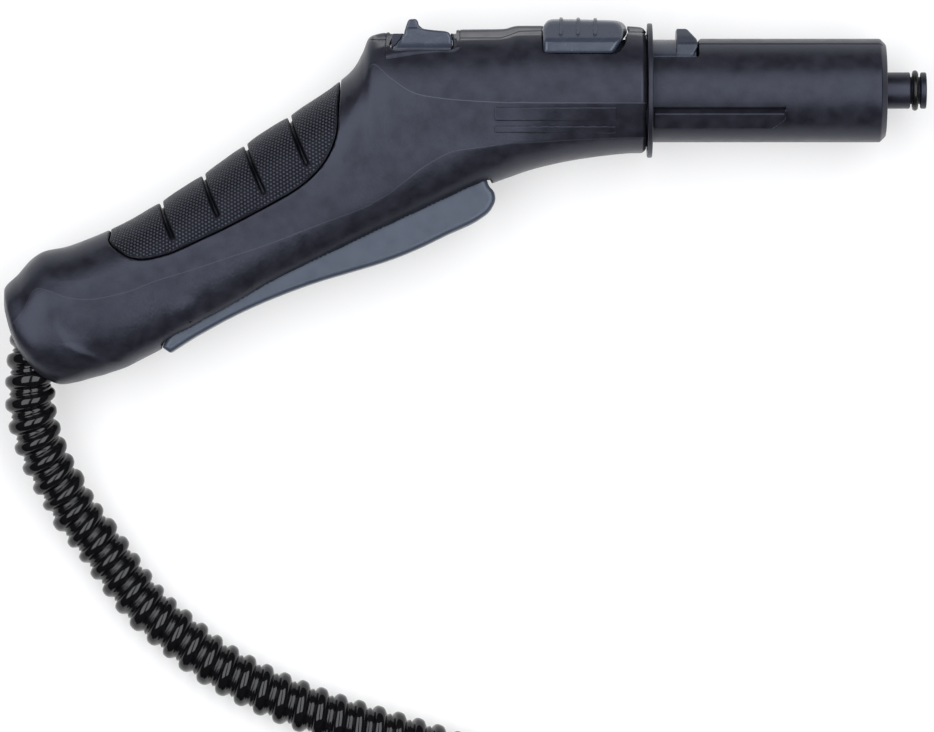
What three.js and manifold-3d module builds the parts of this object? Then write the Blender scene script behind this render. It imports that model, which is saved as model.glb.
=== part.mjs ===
// A hand-held steam gun with its ribbed steam hose, lying on its left side on a table.
// Millimetres. The gun is drawn about its barrel: X runs forward along the barrel's axis from the
// collar's front face, Y is the gun's upward side, and Z is the gun's right side, up from the table.
import * as THREE from 'three';
import { mergeVertices } from 'three/addons/utils/BufferGeometryUtils.js';
import Module from 'manifold-3d';

const wasm = await Module();
wasm.setup();

// Fits
const fitGap = 0.3;
const runGap = 0.5;
const overrun = 6;
const weldTolerance = 0.0005;

// Barrel, collar and steam pipe
const barrelDiameter = 35.2;
const barrelLength = 80;
const barrelTail = 15;
const barrelWall = 2.4;
const barrelChamfer = 2;
const collarRim = 5.25;
const collarThickness = 1.7;
const collarSpigot = 4.5;
const spigotWall = 1.05;
const bulkheadThickness = 2.5;
const keyLength = 45;
const keyWidth = 6.5;
const keyRise = 1.4;
const keyPoint = 5;
const keyAngle = 35.4;
const pipeDiameter = 12.4;
const pipeReach = 13.2;
const pipeBore = 3.8;
const pipeShoulder = 17;
const pipeShoulderLength = 3;
const pipeTail = 8;
const pipeLip = 1.9;
const grooveWidth = 3.6;
const grooveDepth = 1.6;
const ringWire = 2.0;

// Housing
const housingLength = 218.6;
const housingDepth = 122.3;
const housingRim = 3.65;
const crownRise = 1.02;
const gripWidth = 37;
const buttWidth = 40;
const wall = 2.5;
const seamGap = 0.3;
const padThickness = 1.2;
const padGap = 0.4;
const padGrooveWidth = 1.4;
const padGrooveDepth = 0.9;

// Screws that hold the two housing halves
const screwDiameter = 3;
const screwHeadDiameter = 6;
const screwHeadHeight = 2.2;
const screwReach = 9;
const screwSeat = 11;
const screwSlotWidth = 0.9;
const screwSlotDepth = 0.9;
const bossDiameter = 8.8;
const screwBelowBezel = 3.5;

// Trigger
const triggerWidth = 17;
const triggerWall = 1.8;
const triggerTravel = 4;
const triggerPinDiameter = 4;
const triggerPinLength = 24;
const triggerHubDiameter = 8;

// Steam valve
const valveDiameter = 16;
const valveHeadroom = 2.1;
const valveStandOffShare = 0.376;
const valveEndWall = 1.8;
const chamberDiameter = 8;
const plungerHeadDiameter = 7;
const plungerHeadHeight = 2.5;
const plungerStemDiameter = 5;
const plungerStemShare = 0.776;
const portDiameter = 9;
const portReach = 14;
const portBore = 3.6;
const inletShare = 0.565;
const sealShare = 0.706;
const sealWire = 1.6;
const springWire = 0.9;
const springMeanDiameter = 9;
const springCurls = 5;
const cradleThickness = 3;

// Steam tubes inside the gun
const tubeDiameter = 6;
const tubeBore = 3.6;
const tubeElbow = 2.5;

// Selector rocker and its bezel
const rockerLength = 20.7;
const rockerHeight = 12.4;
const rockerWidth = 26.4;
const rockerWall = 1.6;
const selectorDrop = 7.1;
const finWidth = 18;
const selectorPinDiameter = 3;
const selectorHubDiameter = 6.4;
const selectorHubWidth = 8;
const selectorEarThickness = 2.2;
const bezelWall = 1.4;
const bezelDepth = 12.6;
const bezelFloor = 1.6;
const bezelLipDrop = 9.1;
const bezelRearRoom = 10.9;
const bezelFrontRoom = 11.6;
const detentLength = 12;
const detentWidth = 4;
const detentThickness = 0.6;

// Unlock button, latch arm and its pin
const buttonLength = 28.9;
const buttonWidth = 35.2;
const buttonHeight = 12.3;
const buttonWall = 2.2;
const buttonSkirtDrop = 10.5;
const buttonFootRise = 0.6;
const buttonRearReach = 1.7;
const buttonFrontRoom = 1.3;
const buttonRibRise = 0.5;
const buttonRibWidth = 1.6;
const latchSwing = 3.5;
const latchPlace = 35.7;
const latchDrop = 15.1;
const latchPinDiameter = 3;
const latchPinLength = 28;
const latchEyeDiameter = 6.4;
const latchEyeWidth = 10;
const armThickness = 2.6;
const armWidthShare = 0.744;
const armReach = 14.8;
const toothRise = 3.4;
const toothLength = 7.8;
const toothSlopeShare = 0.35;
const armNeckShare = 1.6;
const armCrownShare = 0.9;
const toothWidth = 13;
const latchSpringDiameter = 6;
const latchSpringWire = 0.8;
const latchSpringCurls = 4;
const latchSpringPlace = 15;
const latchShelfDrop = 0.4;
const shelfThickness = 2;

// Steam hose
const hoseDiameter = 17.4;
const hoseRoot = 14.6;
const hoseBore = 8;
const hoseSides = 8;
const exitTilt = 8;
const mouthClearance = 1;
const socketLip = 2.5;
const socketLength = 7.5;
const socketNeckDiameter = 12;
const freeRibs = 40;
const coilRibs = 80;
const tailRibs = 18;
const ribsPerBoreRing = 4;
const coilRibsPerBoreRing = 2;
const straightShares = [0, 0.5, 1, 1.15];

// Coil of the hose that is put away beside the gun
const coilRadius = 113.3;
const coilSpacing = 18.1;
const coilTurns = 2.5;
const coilStartAngle = 70;
const coilClimbTurns = 0.5;
const coilCentreX = -10;
const coilCentreY = -308;
const coilPointsPerTurn = 48;
const arcSteps = 20;

// Steam plug on the hose's far end
const plugHeight = 24;
const plugWidth = 30;
const plugLength = 38;
const plugCorner = 6;
const plugAxisHeight = plugHeight / 2 + fitGap;
const cuffLength = 20;
const cuffStartDiameter = 19;
const cuffEndDiameter = 23;
const nippleDiameter = 9;
const nippleReach = 15;
const nippleFlange = 15;
const nippleFlangeLength = 3;
const catchDepth = 1.5;
const catchWidth = 5;

// Round parts are drawn with this many sides
const barrelSides = 36;
const roundSides = 20;
const smallSides = 12;

const degree = Math.PI / 180;
const barrelRadius = barrelDiameter / 2;
const collarRadius = barrelRadius + collarRim;
const seatRadius = barrelRadius + fitGap + spigotWall + fitGap;
const housingWidth = barrelDiameter + 2 * housingRim;
const housingTop = housingWidth / 2 + crownRise;
const armHalfWidth = armWidthShare * barrelRadius;
const housingFace = -(collarThickness + fitGap);
const pinRadius = triggerPinDiameter / 2;

// Solids and meshes
function solid(geometry) {
  const bare = geometry.index ? geometry.toNonIndexed() : geometry.clone();
  bare.deleteAttribute('normal');
  bare.deleteAttribute('uv');
  const merged = mergeVertices(bare, weldTolerance);
  const vertProperties = new Float32Array(merged.attributes.position.array);
  const facing = new Uint32Array(merged.index.array);
  const body = new wasm.Manifold(new wasm.Mesh({ numProp: 3, vertProperties, triVerts: facing }));
  if (body.volume() > 0) {
    return body;
  }
  return new wasm.Manifold(new wasm.Mesh({ numProp: 3, vertProperties, triVerts: facing.reverse() }));
}

function join(...solids) {
  return solids.reduce((sum, next) => sum.add(next));
}

function cut(body, ...tools) {
  return tools.reduce((left, tool) => left.subtract(tool), body);
}

function geometryOf(body) {
  const mesh = body.getMesh();
  const geometry = new THREE.BufferGeometry();
  geometry.setAttribute('position', new THREE.BufferAttribute(new Float32Array(mesh.vertProperties), 3));
  geometry.setIndex(new THREE.BufferAttribute(new Uint32Array(mesh.triVerts), 1));
  geometry.computeVertexNormals();
  return geometry;
}

const finishes = {
  charcoal: { color: 0x26282c, roughness: 0.55, metalness: 0 },
  pad: { color: 0x1d1e21, roughness: 0.75, metalness: 0 },
  grey: { color: 0x5c6470, roughness: 0.5, metalness: 0 },
  hose: { color: 0x08080a, roughness: 0.18, metalness: 0 },
  steel: { color: 0xa8abb0, roughness: 0.3, metalness: 1 },
  brass: { color: 0xb08d4a, roughness: 0.35, metalness: 1 },
  rubber: { color: 0x101010, roughness: 0.8, metalness: 0 },
  tube: { color: 0xd8d6cf, roughness: 0.5, metalness: 0 },
};

function addPiece(group, name, body, finish) {
  const geometry = body.isBufferGeometry ? body : geometryOf(body);
  const mesh = new THREE.Mesh(geometry, new THREE.MeshStandardMaterial(finishes[finish]));
  mesh.name = name;
  group.add(mesh);
  return mesh;
}

// Simple shapes
function block(lowX, highX, lowY, highY, lowZ, highZ) {
  const geometry = new THREE.BoxGeometry(highX - lowX, highY - lowY, highZ - lowZ);
  geometry.translate((lowX + highX) / 2, (lowY + highY) / 2, (lowZ + highZ) / 2);
  return solid(geometry);
}

function shapeOf(outline) {
  return new THREE.Shape(outline.map(([x, y]) => new THREE.Vector2(x, y)));
}

function prism(outline, lowZ, highZ) {
  const geometry = new THREE.ExtrudeGeometry(shapeOf(outline), { depth: highZ - lowZ, bevelEnabled: false });
  geometry.translate(0, 0, lowZ);
  return solid(geometry);
}

// A turned piece: profile rows are [distance along the axis, radius], from the axis back to the axis.
function turned(profile, sides, base, direction) {
  const points = profile.map(([along, radius]) => new THREE.Vector2(radius, along));
  const geometry = new THREE.LatheGeometry(points, sides);
  geometry.applyQuaternion(new THREE.Quaternion().setFromUnitVectors(new THREE.Vector3(0, 1, 0), direction));
  geometry.translate(base.x, base.y, base.z);
  const body = solid(geometry);
  return body;
}

function rod(from, to, radius, sides = roundSides) {
  const length = from.distanceTo(to);
  const direction = to.clone().sub(from).normalize();
  return turned([[0, 0], [0, radius], [length, radius], [length, 0]], sides, from, direction);
}

function crossRod(place, lowZ, highZ, radius, sides = roundSides) {
  const [x, y] = place;
  return rod(new THREE.Vector3(x, y, lowZ), new THREE.Vector3(x, y, highZ), radius, sides);
}

// A ring of round section about a direction, such as a seal
function roundRing(centre, direction, meanRadius, wire, sides = smallSides, wireSides = 6) {
  const geometry = new THREE.TorusGeometry(meanRadius, wire / 2, wireSides, sides);
  geometry.applyQuaternion(new THREE.Quaternion().setFromUnitVectors(new THREE.Vector3(0, 0, 1), direction));
  geometry.translate(centre.x, centre.y, centre.z);
  return solid(geometry);
}

// Moves each corner of a closed outline outwards along the mean of its two edges' normals
function offsetOutline(outline, distance) {
  const area = THREE.ShapeUtils.area(outline.map(([x, y]) => new THREE.Vector2(x, y)));
  const side = Math.sign(area);
  return outline.map((point, index) => {
    const before = outline[(index + outline.length - 1) % outline.length];
    const after = outline[(index + 1) % outline.length];
    const into = new THREE.Vector2(point[0] - before[0], point[1] - before[1]).normalize();
    const out = new THREE.Vector2(after[0] - point[0], after[1] - point[1]).normalize();
    const normal = new THREE.Vector2(into.y + out.y, -(into.x + out.x)).normalize();
    const slant = Math.max(normal.x * into.y - normal.y * into.x, Math.SQRT1_2);
    const step = side * distance / slant;
    return [point[0] + normal.x * step, point[1] + normal.y * step];
  });
}

function turnOutline(outline, pivot, degrees) {
  const centre = new THREE.Vector2(...pivot);
  return outline.map(([x, y]) => {
    const point = new THREE.Vector2(x, y).rotateAround(centre, degrees * degree);
    return [point.x, point.y];
  });
}

// A compression spring: one wire wound about an axis, 8 steps of 5 sides in each curl
function coilSpring(base, direction, length, meanDiameter, wire, curls) {
  const steps = 8 * curls;
  const wireSides = 5;
  const climb = length - wire;
  const turn = new THREE.Quaternion().setFromUnitVectors(new THREE.Vector3(0, 0, 1), direction);
  const positions = [];
  for (let step = 0; step <= steps; step += 1) {
    const angle = (step / steps) * curls * 2 * Math.PI;
    const height = wire / 2 + climb * step / steps;
    for (let side = 0; side < wireSides; side += 1) {
      const around = (side / wireSides) * 2 * Math.PI;
      const radius = meanDiameter / 2 + Math.cos(around) * wire / 2;
      const point = new THREE.Vector3(radius * Math.cos(angle), radius * Math.sin(angle),
        height + Math.sin(around) * wire / 2);
      point.applyQuaternion(turn).add(base);
      positions.push(point.x, point.y, point.z);
    }
  }
  return solid(ringsGeometry(positions, steps + 1, wireSides));
}

// Closed surface through rings of points that follow each other, with a flat cap at each end
function ringsGeometry(positions, ringCount, sides) {
  const faces = [];
  for (let ring = 0; ring + 1 < ringCount; ring += 1) {
    for (let side = 0; side < sides; side += 1) {
      const next = (side + 1) % sides;
      const [a, b] = [ring * sides + side, ring * sides + next];
      faces.push(a, b, b + sides, a, b + sides, a + sides);
    }
  }
  for (let side = 1; side + 1 < sides; side += 1) {
    const last = (ringCount - 1) * sides;
    faces.push(0, side + 1, side);
    faces.push(last, last + side, last + side + 1);
  }
  const geometry = new THREE.BufferGeometry();
  geometry.setAttribute('position', new THREE.BufferAttribute(new Float32Array(positions), 3));
  geometry.setIndex(faces);
  return geometry;
}

// Side view of the gun: places are shares of the housing's length, from its front face, and of its depth
function side(lengthShare, depthShare) {
  return [housingFace - lengthShare * housingLength, housingTop - depthShare * housingDepth];
}

function sideOutline(shares) {
  return shares.map(([lengthShare, depthShare]) => side(lengthShare, depthShare));
}

// Housing sections from the front face to the butt. Each row: the top point and the bottom point in the
// side view, the places of the upper and lower creases between them, the shares of the body's, grip's and
// butt's width, and the roundness exponents of the upper and lower half of the section.
const stationShares = [
  [0.0000, 0.0083, 0.0000, 0.3560, 0.616, 0.888, 1.00, 0.00, 0.00, 2.0, 2.0],
  [0.0296, 0.0028, 0.0264, 0.3568, 0.620, 0.887, 1.00, 0.00, 0.00, 2.0, 2.0],
  [0.1120, 0.0019, 0.1073, 0.3740, 0.592, 0.862, 1.00, 0.00, 0.00, 2.1, 2.1],
  [0.1976, 0.0019, 0.1773, 0.4018, 0.548, 0.822, 1.00, 0.00, 0.00, 2.2, 2.2],
  [0.2240, 0.0111, 0.2100, 0.4213, 0.513, 0.786, 1.00, 0.00, 0.00, 2.2, 2.3],
  [0.2831, 0.0125, 0.2474, 0.4463, 0.472, 0.765, 0.99, 0.00, 0.00, 2.3, 2.4],
  [0.3376, 0.0153, 0.2878, 0.4783, 0.420, 0.737, 0.98, 0.00, 0.00, 2.3, 2.5],
  [0.3765, 0.0175, 0.3267, 0.5103, 0.362, 0.758, 0.97, 0.00, 0.00, 2.3, 2.6],
  [0.4060, 0.0211, 0.3656, 0.5437, 0.280, 0.785, 0.80, 0.19, 0.00, 2.3, 2.6],
  [0.4294, 0.0334, 0.4014, 0.5742, 0.170, 0.810, 0.70, 0.29, 0.00, 2.3, 2.6],
  [0.4410, 0.0779, 0.4325, 0.6007, 0.220, 0.832, 0.55, 0.44, 0.00, 2.3, 2.6],
  [0.4543, 0.1196, 0.4620, 0.6257, 0.300, 0.810, 0.40, 0.60, 0.00, 2.3, 2.6],
  [0.4838, 0.1669, 0.5056, 0.6632, 0.330, 0.776, 0.20, 0.80, 0.00, 2.2, 2.6],
  [0.5429, 0.2378, 0.5787, 0.7272, 0.350, 0.696, 0.05, 0.95, 0.00, 2.2, 2.6],
  [0.6098, 0.3142, 0.6518, 0.8037, 0.360, 0.610, 0.00, 1.00, 0.00, 2.2, 2.6],
  [0.6798, 0.4032, 0.7141, 0.8607, 0.370, 0.580, 0.00, 1.00, 0.00, 2.2, 2.6],
  [0.7467, 0.4811, 0.7701, 0.9205, 0.350, 0.520, 0.00, 0.85, 0.15, 2.2, 2.5],
  [0.8074, 0.5464, 0.8167, 0.9636, 0.320, 0.467, 0.00, 0.50, 0.50, 2.2, 2.4],
  [0.8587, 0.5882, 0.8556, 0.9789, 0.300, 0.440, 0.00, 0.20, 0.80, 2.2, 2.4],
  [0.9039, 0.6174, 0.8852, 0.9928, 0.250, 0.380, 0.00, 0.00, 1.00, 2.2, 2.4],
  [0.9350, 0.6285, 0.9070, 0.9992, 0.200, 0.330, 0.00, 0.00, 1.00, 2.2, 2.4],
  [0.9552, 0.6507, 0.9225, 0.9964, 0.190, 0.320, 0.00, 0.00, 0.99, 2.2, 2.4],
  [0.9754, 0.6910, 0.9412, 0.9816, 0.200, 0.350, 0.00, 0.00, 0.96, 2.2, 2.4],
  [0.9977, 0.7358, 0.9672, 0.9288, 0.250, 0.500, 0.00, 0.00, 0.86, 2.2, 2.4],
  [0.9984, 0.7731, 0.9832, 0.8760, 0.300, 0.600, 0.00, 0.00, 0.62, 2.2, 2.4],
];
const stationsInside = 23;

// Where the points of one half section stand, as shares of the three stretches that the creases part
const upperStretchShares = [0.06, 0.25, 0.6];
const sideStretchShares = [0, 0.5];
const lowerStretchShares = [0, 0.45, 0.8, 0.97];
const insideStretchShares = [[0.12, 0.55], [0], [0, 0.55, 0.92]];

function sectionPoints(row, inset, [upperStretch, sideStretch, lowerStretch]) {
  const [topU, topV, bottomU, bottomV, upperCrease, lowerCrease, body, grip, butt, upperPower,
    lowerPower] = row;
  const top = new THREE.Vector2(...side(topU, topV));
  const bottom = new THREE.Vector2(...side(bottomU, bottomV));
  const down = bottom.clone().sub(top).normalize();
  top.addScaledVector(down, inset);
  bottom.addScaledVector(down, -inset);
  const halfWidth = (body * housingWidth + grip * gripWidth + butt * buttWidth) / 2 - inset;
  const heights = [
    ...upperStretch.map((share) => share * upperCrease),
    ...sideStretch.map((share) => upperCrease + share * (lowerCrease - upperCrease)),
    ...lowerStretch.map((share) => lowerCrease + share * (1 - lowerCrease)),
  ];
  const half = heights.map((height) => {
    const across = Math.abs(2 * height - 1);
    const power = height < 0.5 ? upperPower : lowerPower;
    const width = halfWidth * (1 - across ** power) ** (1 / power);
    const point = top.clone().lerp(bottom, height);
    return [point.x, point.y, width];
  });
  const right = half.map(([x, y, z]) => [x, y, z]);
  const left = half.map(([x, y, z]) => [x, y, -z]).reverse();
  return [[top.x, top.y, 0], ...right, [bottom.x, bottom.y, 0], ...left];
}

const skinStretchShares = [upperStretchShares, sideStretchShares, lowerStretchShares];

// The housing's skin, moved inwards by an inset
function housingLoft(inset, stationCount = stationShares.length, stretches = skinStretchShares) {
  const rows = stationShares.slice(0, stationCount).map((row) => sectionPoints(row, inset, stretches));
  if (inset > 0) {
    rows.unshift(rows[0].map(([x, y, z]) => [x + overrun, y, z]));
  }
  const positions = rows.flat(2);
  return solid(ringsGeometry(positions, rows.length, rows[0].length));
}

// Side view of the grip pad, and the lines of its four finger grooves
const padOutlineShares = [
  [0.4745, 0.1752], [0.4760, 0.2253], [0.4776, 0.3087], [0.4916, 0.3726], [0.5134, 0.4227], [0.5422, 0.4644],
  [0.5779, 0.5006], [0.6487, 0.5673], [0.6993, 0.6090], [0.7351, 0.6396], [0.7778, 0.6580], [0.8058, 0.6496],
  [0.8276, 0.6201], [0.8354, 0.6007], [0.8315, 0.5826], [0.8510, 0.4867], [0.4932, 0.0695], [0.4745, 0.0834],
];
const padGrooveShares = [
  [0.5523, 0.2697, 0.5297, 0.3949],
  [0.6207, 0.3462, 0.5958, 0.4741],
  [0.6868, 0.4255, 0.6674, 0.5367],
  [0.7514, 0.5089, 0.7374, 0.5979],
];

// Side view of the trigger: its lower edge from rear to front, then the hidden upper edge back again
const triggerOutlineShares = [
  [0.7514, 0.8968], [0.7390, 0.9121], [0.7032, 0.8704], [0.6441, 0.8115], [0.5865, 0.7647], [0.5165, 0.7175],
  [0.4465, 0.6813], [0.3998, 0.6563], [0.3531, 0.6229], [0.3065, 0.5812], [0.2660, 0.5492], [0.2427, 0.5200],
  [0.2334, 0.4867], [0.2365, 0.4630], [0.2442, 0.4505], [0.2505, 0.4171], [0.3329, 0.4727], [0.4060, 0.5367],
  [0.4792, 0.5979], [0.5523, 0.6591], [0.6441, 0.7508], [0.6954, 0.7967], [0.7156, 0.8014], [0.7288, 0.8134],
  [0.7374, 0.8426],
];
const channelEnds = [3, 12];
const triggerPivotShares = [0.7156, 0.8060];
const triggerPivot = side(...triggerPivotShares);
const triggerOutline = sideOutline(triggerOutlineShares);

// Screws from the butt to the barrel; a fifth stands behind the bezel
const screwShares = [
  [0.8852, 0.7647], [0.6565, 0.6396], [0.4932, 0.4588], [0.1665, 0.3198],
];

const bezelBase = housingTop - bezelLipDrop - bezelDepth / 2;

// The valve stands square to the trigger, over the place where the plunger meets it
const plungerFootShares = [0.2987, 0.4867];
const plungerFoot = side(...plungerFootShares);
const lever = new THREE.Vector2(plungerFoot[0] - triggerPivot[0], plungerFoot[1] - triggerPivot[1]);
const plungerAxis = new THREE.Vector3(-lever.y, lever.x, 0).normalize();
const plungerBase = new THREE.Vector3(plungerFoot[0], plungerFoot[1], 0);
const alongValve = (distance) => plungerBase.clone().addScaledVector(plungerAxis, distance);
const valveCorner = valveDiameter / 2 * Math.abs(plungerAxis.x);
const valveTopEnd = (bezelBase - valveHeadroom - valveCorner - plungerBase.y) / plungerAxis.y;
const valveStandOff = valveStandOffShare * valveTopEnd;
const inletHeight = inletShare * valveTopEnd;
const sealPlace = sealShare * valveTopEnd;
const plungerStemEnd = plungerStemShare * valveTopEnd;
const outletCentre = alongValve((0 - plungerBase.y) / plungerAxis.y);
const inletCentre = alongValve(inletHeight);
const outletFace = outletCentre.x + portReach;
const inletFace = inletCentre.x - portReach;

// Selector rocker: pivot, and its side view in shares of its length and height about that pivot
const selectorPlaceShare = 0.3485;
const selectorPivot = [side(selectorPlaceShare, 0)[0], housingTop - selectorDrop];
const rockerOutlineShares = [
  [-0.49, 0.10], [-0.45, 0.18], [-0.38, 0.30], [-0.30, 0.42], [-0.25, 0.52], [-0.20, 0.68], [-0.165, 0.72],
  [-0.12, 0.68], [-0.08, 0.56], [0.02, 0.49], [0.18, 0.46], [0.34, 0.43], [0.50, 0.33], [0.505, 0.06],
  [0.46, -0.28], [-0.46, -0.28], [-0.50, -0.10],
];
const rockerHollowShares = [
  [-0.40, -0.5], [-0.38, 0.10], [-0.28, 0.24], [0.02, 0.32], [0.34, 0.28], [0.41, 0.18], [0.40, -0.5],
];
const bezelRimShares = [0, 0.0125];
const selectorWebShare = 0.45;
const finFromShare = -0.27;
const finToShare = -0.02;
const rockerPlace = ([x, y]) => [selectorPivot[0] + x * rockerLength, selectorPivot[1] + y * rockerHeight];
const rockerOutline = rockerOutlineShares.map(rockerPlace);
const rockerHollow = rockerHollowShares.map(rockerPlace);
const bezelHalfWidth = rockerWidth / 2 + runGap + bezelWall;
const bezelRear = selectorPivot[0] - bezelRearRoom - bezelWall;
const bezelFront = selectorPivot[0] + bezelFrontRoom + bezelWall;
const screwPlaces = sideOutline(screwShares);
screwPlaces.push([bezelRear - bossDiameter / 2 - fitGap, bezelBase - screwBelowBezel]);

// Unlock button: side view in shares of its length and height, and its half cross-section
const buttonSideShares = [
  [0, 0.72], [0.02, 0.90], [0.07, 0.98], [0.16, 1], [0.50, 0.97], [0.78, 0.95], [0.90, 0.88], [0.97, 0.74],
  [1, 0.55],
];
const buttonSectionShares = [
  [0.18, 1], [0.40, 0.94], [0.62, 0.83], [0.76, 0.70], [0.87, 0.52], [0.94, 0.32], [1, 0],
];
const buttonRibShares = [0.22, 0.42, 0.62];
const buttonRibSpanShare = 0.8;
const buttonUndersideShares = [[0.86, 0], [1, 0.4]];
const buttonFloor = housingTop - buttonSkirtDrop;
const latchPivot = [-latchPlace, housingTop - latchDrop];
const buttonFoot = [latchPivot[0] - buttonRearReach, buttonFloor + buttonFootRise];
const buttonTop = buttonFoot[1] + buttonHeight;
const buttonTravel = buttonLength * Math.sin(latchSwing * degree);
const shelfTop = latchPivot[1] - latchShelfDrop;
const barTop = latchPivot[1] + latchEyeDiameter + armThickness;

// Hose exit: the socket's mouth lies deep in the butt
const exitDirection = new THREE.Vector3(-Math.sin(exitTilt * degree), -Math.cos(exitTilt * degree), 0);
const mouthShares = [0.9429, 0.7800];
const mouthPlace = side(...mouthShares);
const socketMouth = new THREE.Vector3(mouthPlace[0], mouthPlace[1], 0);
const alongSocket = (distance) => socketMouth.clone().addScaledVector(exitDirection, distance);

// Housing features that both halves share, made whole and then parted at the middle
function triggerSlot() {
  const halfWidth = triggerWidth / 2 + runGap;
  const outline = offsetOutline(triggerOutline, runGap);
  const steps = 2;
  let slot = prism(outline, -halfWidth, halfWidth);
  for (let step = 1; step <= steps; step += 1) {
    const turnedOutline = turnOutline(outline, triggerPivot, triggerTravel * step / steps);
    slot = slot.add(prism(turnedOutline, -halfWidth, halfWidth));
  }
  return slot;
}

function bezelPocket() {
  const halfWidth = bezelHalfWidth + fitGap;
  return block(bezelRear - fitGap, bezelFront + fitGap, bezelBase - fitGap, housingTop + overrun,
    -halfWidth, halfWidth);
}

function buttonPocket() {
  const halfWidth = buttonWidth / 2 + fitGap;
  const rear = buttonFoot[0] - fitGap;
  const front = buttonFoot[0] + buttonLength + buttonFrontRoom;
  const floor = buttonFloor - runGap;
  return prism([
    [rear, floor], [front, floor - buttonTravel], [front, buttonTop + overrun], [rear, buttonTop + overrun],
  ], -halfWidth, halfWidth);
}

function padRecess() {
  const outline = sideOutline(padOutlineShares);
  const reach = housingWidth;
  return prism(outline, -reach, reach).subtract(housingLoft(padThickness + padGap));
}

function pinBosses(place, radius, fromZ) {
  const reach = housingWidth / 2;
  return join(crossRod(place, fromZ, reach, radius, smallSides), crossRod(place, -reach, -fromZ, radius,
    smallSides));
}

function cradles() {
  const reach = housingWidth / 2;
  const valveRib = alongValve(inletHeight - cradleThickness * 2);
  const valveClear = valveDiameter / 2 + fitGap;
  const socketRib = alongSocket(-socketLength + cradleThickness);
  const neck = socketNeckDiameter / 2;
  const shelfX = latchPivot[0] + latchSpringPlace;
  const ribs = [];
  for (const [low, high] of [[valveClear, reach], [-reach, -valveClear]]) {
    ribs.push(block(valveRib.x - neck / 2, valveRib.x + neck / 2, valveRib.y - cradleThickness / 2,
      valveRib.y + cradleThickness / 2, low, high));
  }
  for (const [low, high] of [[neck + fitGap, reach], [-reach, -neck - fitGap]]) {
    ribs.push(block(socketRib.x - neck / 2, socketRib.x + neck / 2, socketRib.y - cradleThickness / 2,
      socketRib.y + cradleThickness / 2, low, high));
  }
  ribs.push(block(shelfX - latchSpringDiameter, shelfX + latchSpringDiameter, shelfTop - shelfThickness,
    shelfTop, -reach, reach));
  return join(...ribs);
}

function makeHousing() {
  const anchor = housingLoft(wall / 2);
  const bosses = screwPlaces.map((place) =>
    crossRod(place, -housingWidth / 2, housingWidth / 2, bossDiameter / 2, smallSides));
  const spigotEnd = -collarThickness - collarSpigot - runGap;
  const bulkhead = rod(new THREE.Vector3(spigotEnd - bulkheadThickness, 0, 0), new THREE.Vector3(spigotEnd,
    0, 0),
    housingWidth / 2, barrelSides);
  const inner = join(...bosses, cradles(), bulkhead,
    pinBosses(triggerPivot, triggerHubDiameter / 2, triggerWidth / 2 + runGap + fitGap),
    pinBosses(latchPivot, latchEyeDiameter / 2, latchEyeWidth / 2 + runGap)).intersect(anchor);
  const pinHalf = triggerPinLength / 2 + fitGap;
  const latchHalf = latchPinLength / 2 + fitGap;
  const barrelRoom = rod(new THREE.Vector3(-barrelTail - runGap, 0, 0), new THREE.Vector3(overrun, 0, 0),
    barrelRadius + fitGap, barrelSides);
  const spigotRoom = rod(new THREE.Vector3(spigotEnd, 0, 0), new THREE.Vector3(overrun, 0, 0),
    seatRadius, barrelSides);
  const mouthRoom = rod(alongSocket(-socketLip - fitGap), alongSocket(housingDepth),
    hoseDiameter / 2 + mouthClearance);
  const neckRoom = rod(alongSocket(0), alongSocket(-socketLength - fitGap), socketNeckDiameter / 2 + fitGap);
  const valveRoom = rod(alongValve(valveStandOff - fitGap), alongValve(valveTopEnd + fitGap),
    valveDiameter / 2 + fitGap);
  let shell = housingLoft(0).subtract(housingLoft(wall, stationsInside, insideStretchShares))
    .add(inner);
  shell = cut(shell, bezelPocket(), buttonPocket(), padRecess(), triggerSlot(), barrelRoom, spigotRoom,
    mouthRoom, neckRoom, valveRoom,
    crossRod(triggerPivot, -pinHalf, pinHalf, pinRadius + fitGap, smallSides),
    crossRod(latchPivot, -latchHalf, latchHalf, latchPinDiameter / 2 + fitGap, smallSides));
  for (const place of screwPlaces) {
    shell = cut(shell,
      crossRod(place, -screwSeat - fitGap, screwReach + fitGap, screwDiameter / 2 + fitGap, smallSides),
      crossRod(place, -housingWidth, -screwSeat, screwHeadDiameter / 2 + fitGap, smallSides));
  }
  return shell;
}

function halfSpace(sign) {
  const far = housingLength + barrelLength;
  const near = seamGap / 2;
  return sign > 0 ? block(-far, far, -far, far, near, far) : block(-far, far, -far, far, -far, -near);
}

// Soft grip pad, let into the back of the grip and folded over it
function makePad() {
  const outline = offsetOutline(sideOutline(padOutlineShares), -fitGap);
  const reach = housingWidth;
  let pad = prism(outline, -reach, reach).intersect(housingLoft(0)).subtract(housingLoft(padThickness));
  const floor = housingLoft(padGrooveDepth);
  for (const [fromU, fromV, toU, toV] of padGrooveShares) {
    const from = new THREE.Vector2(...side(fromU, fromV));
    const to = new THREE.Vector2(...side(toU, toV));
    const along = to.clone().sub(from).normalize();
    const start = from.clone().addScaledVector(along, -overrun);
    const across = new THREE.Vector2(-along.y, along.x).multiplyScalar(padGrooveWidth / 2);
    const outlinePoints = [start.clone().add(across), start.clone().sub(across), to.clone().sub(across),
      to.clone().add(across)].map((point) => [point.x, point.y]);
    pad = pad.subtract(prism(outlinePoints, -reach, reach).subtract(floor));
  }
  return pad;
}

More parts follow.
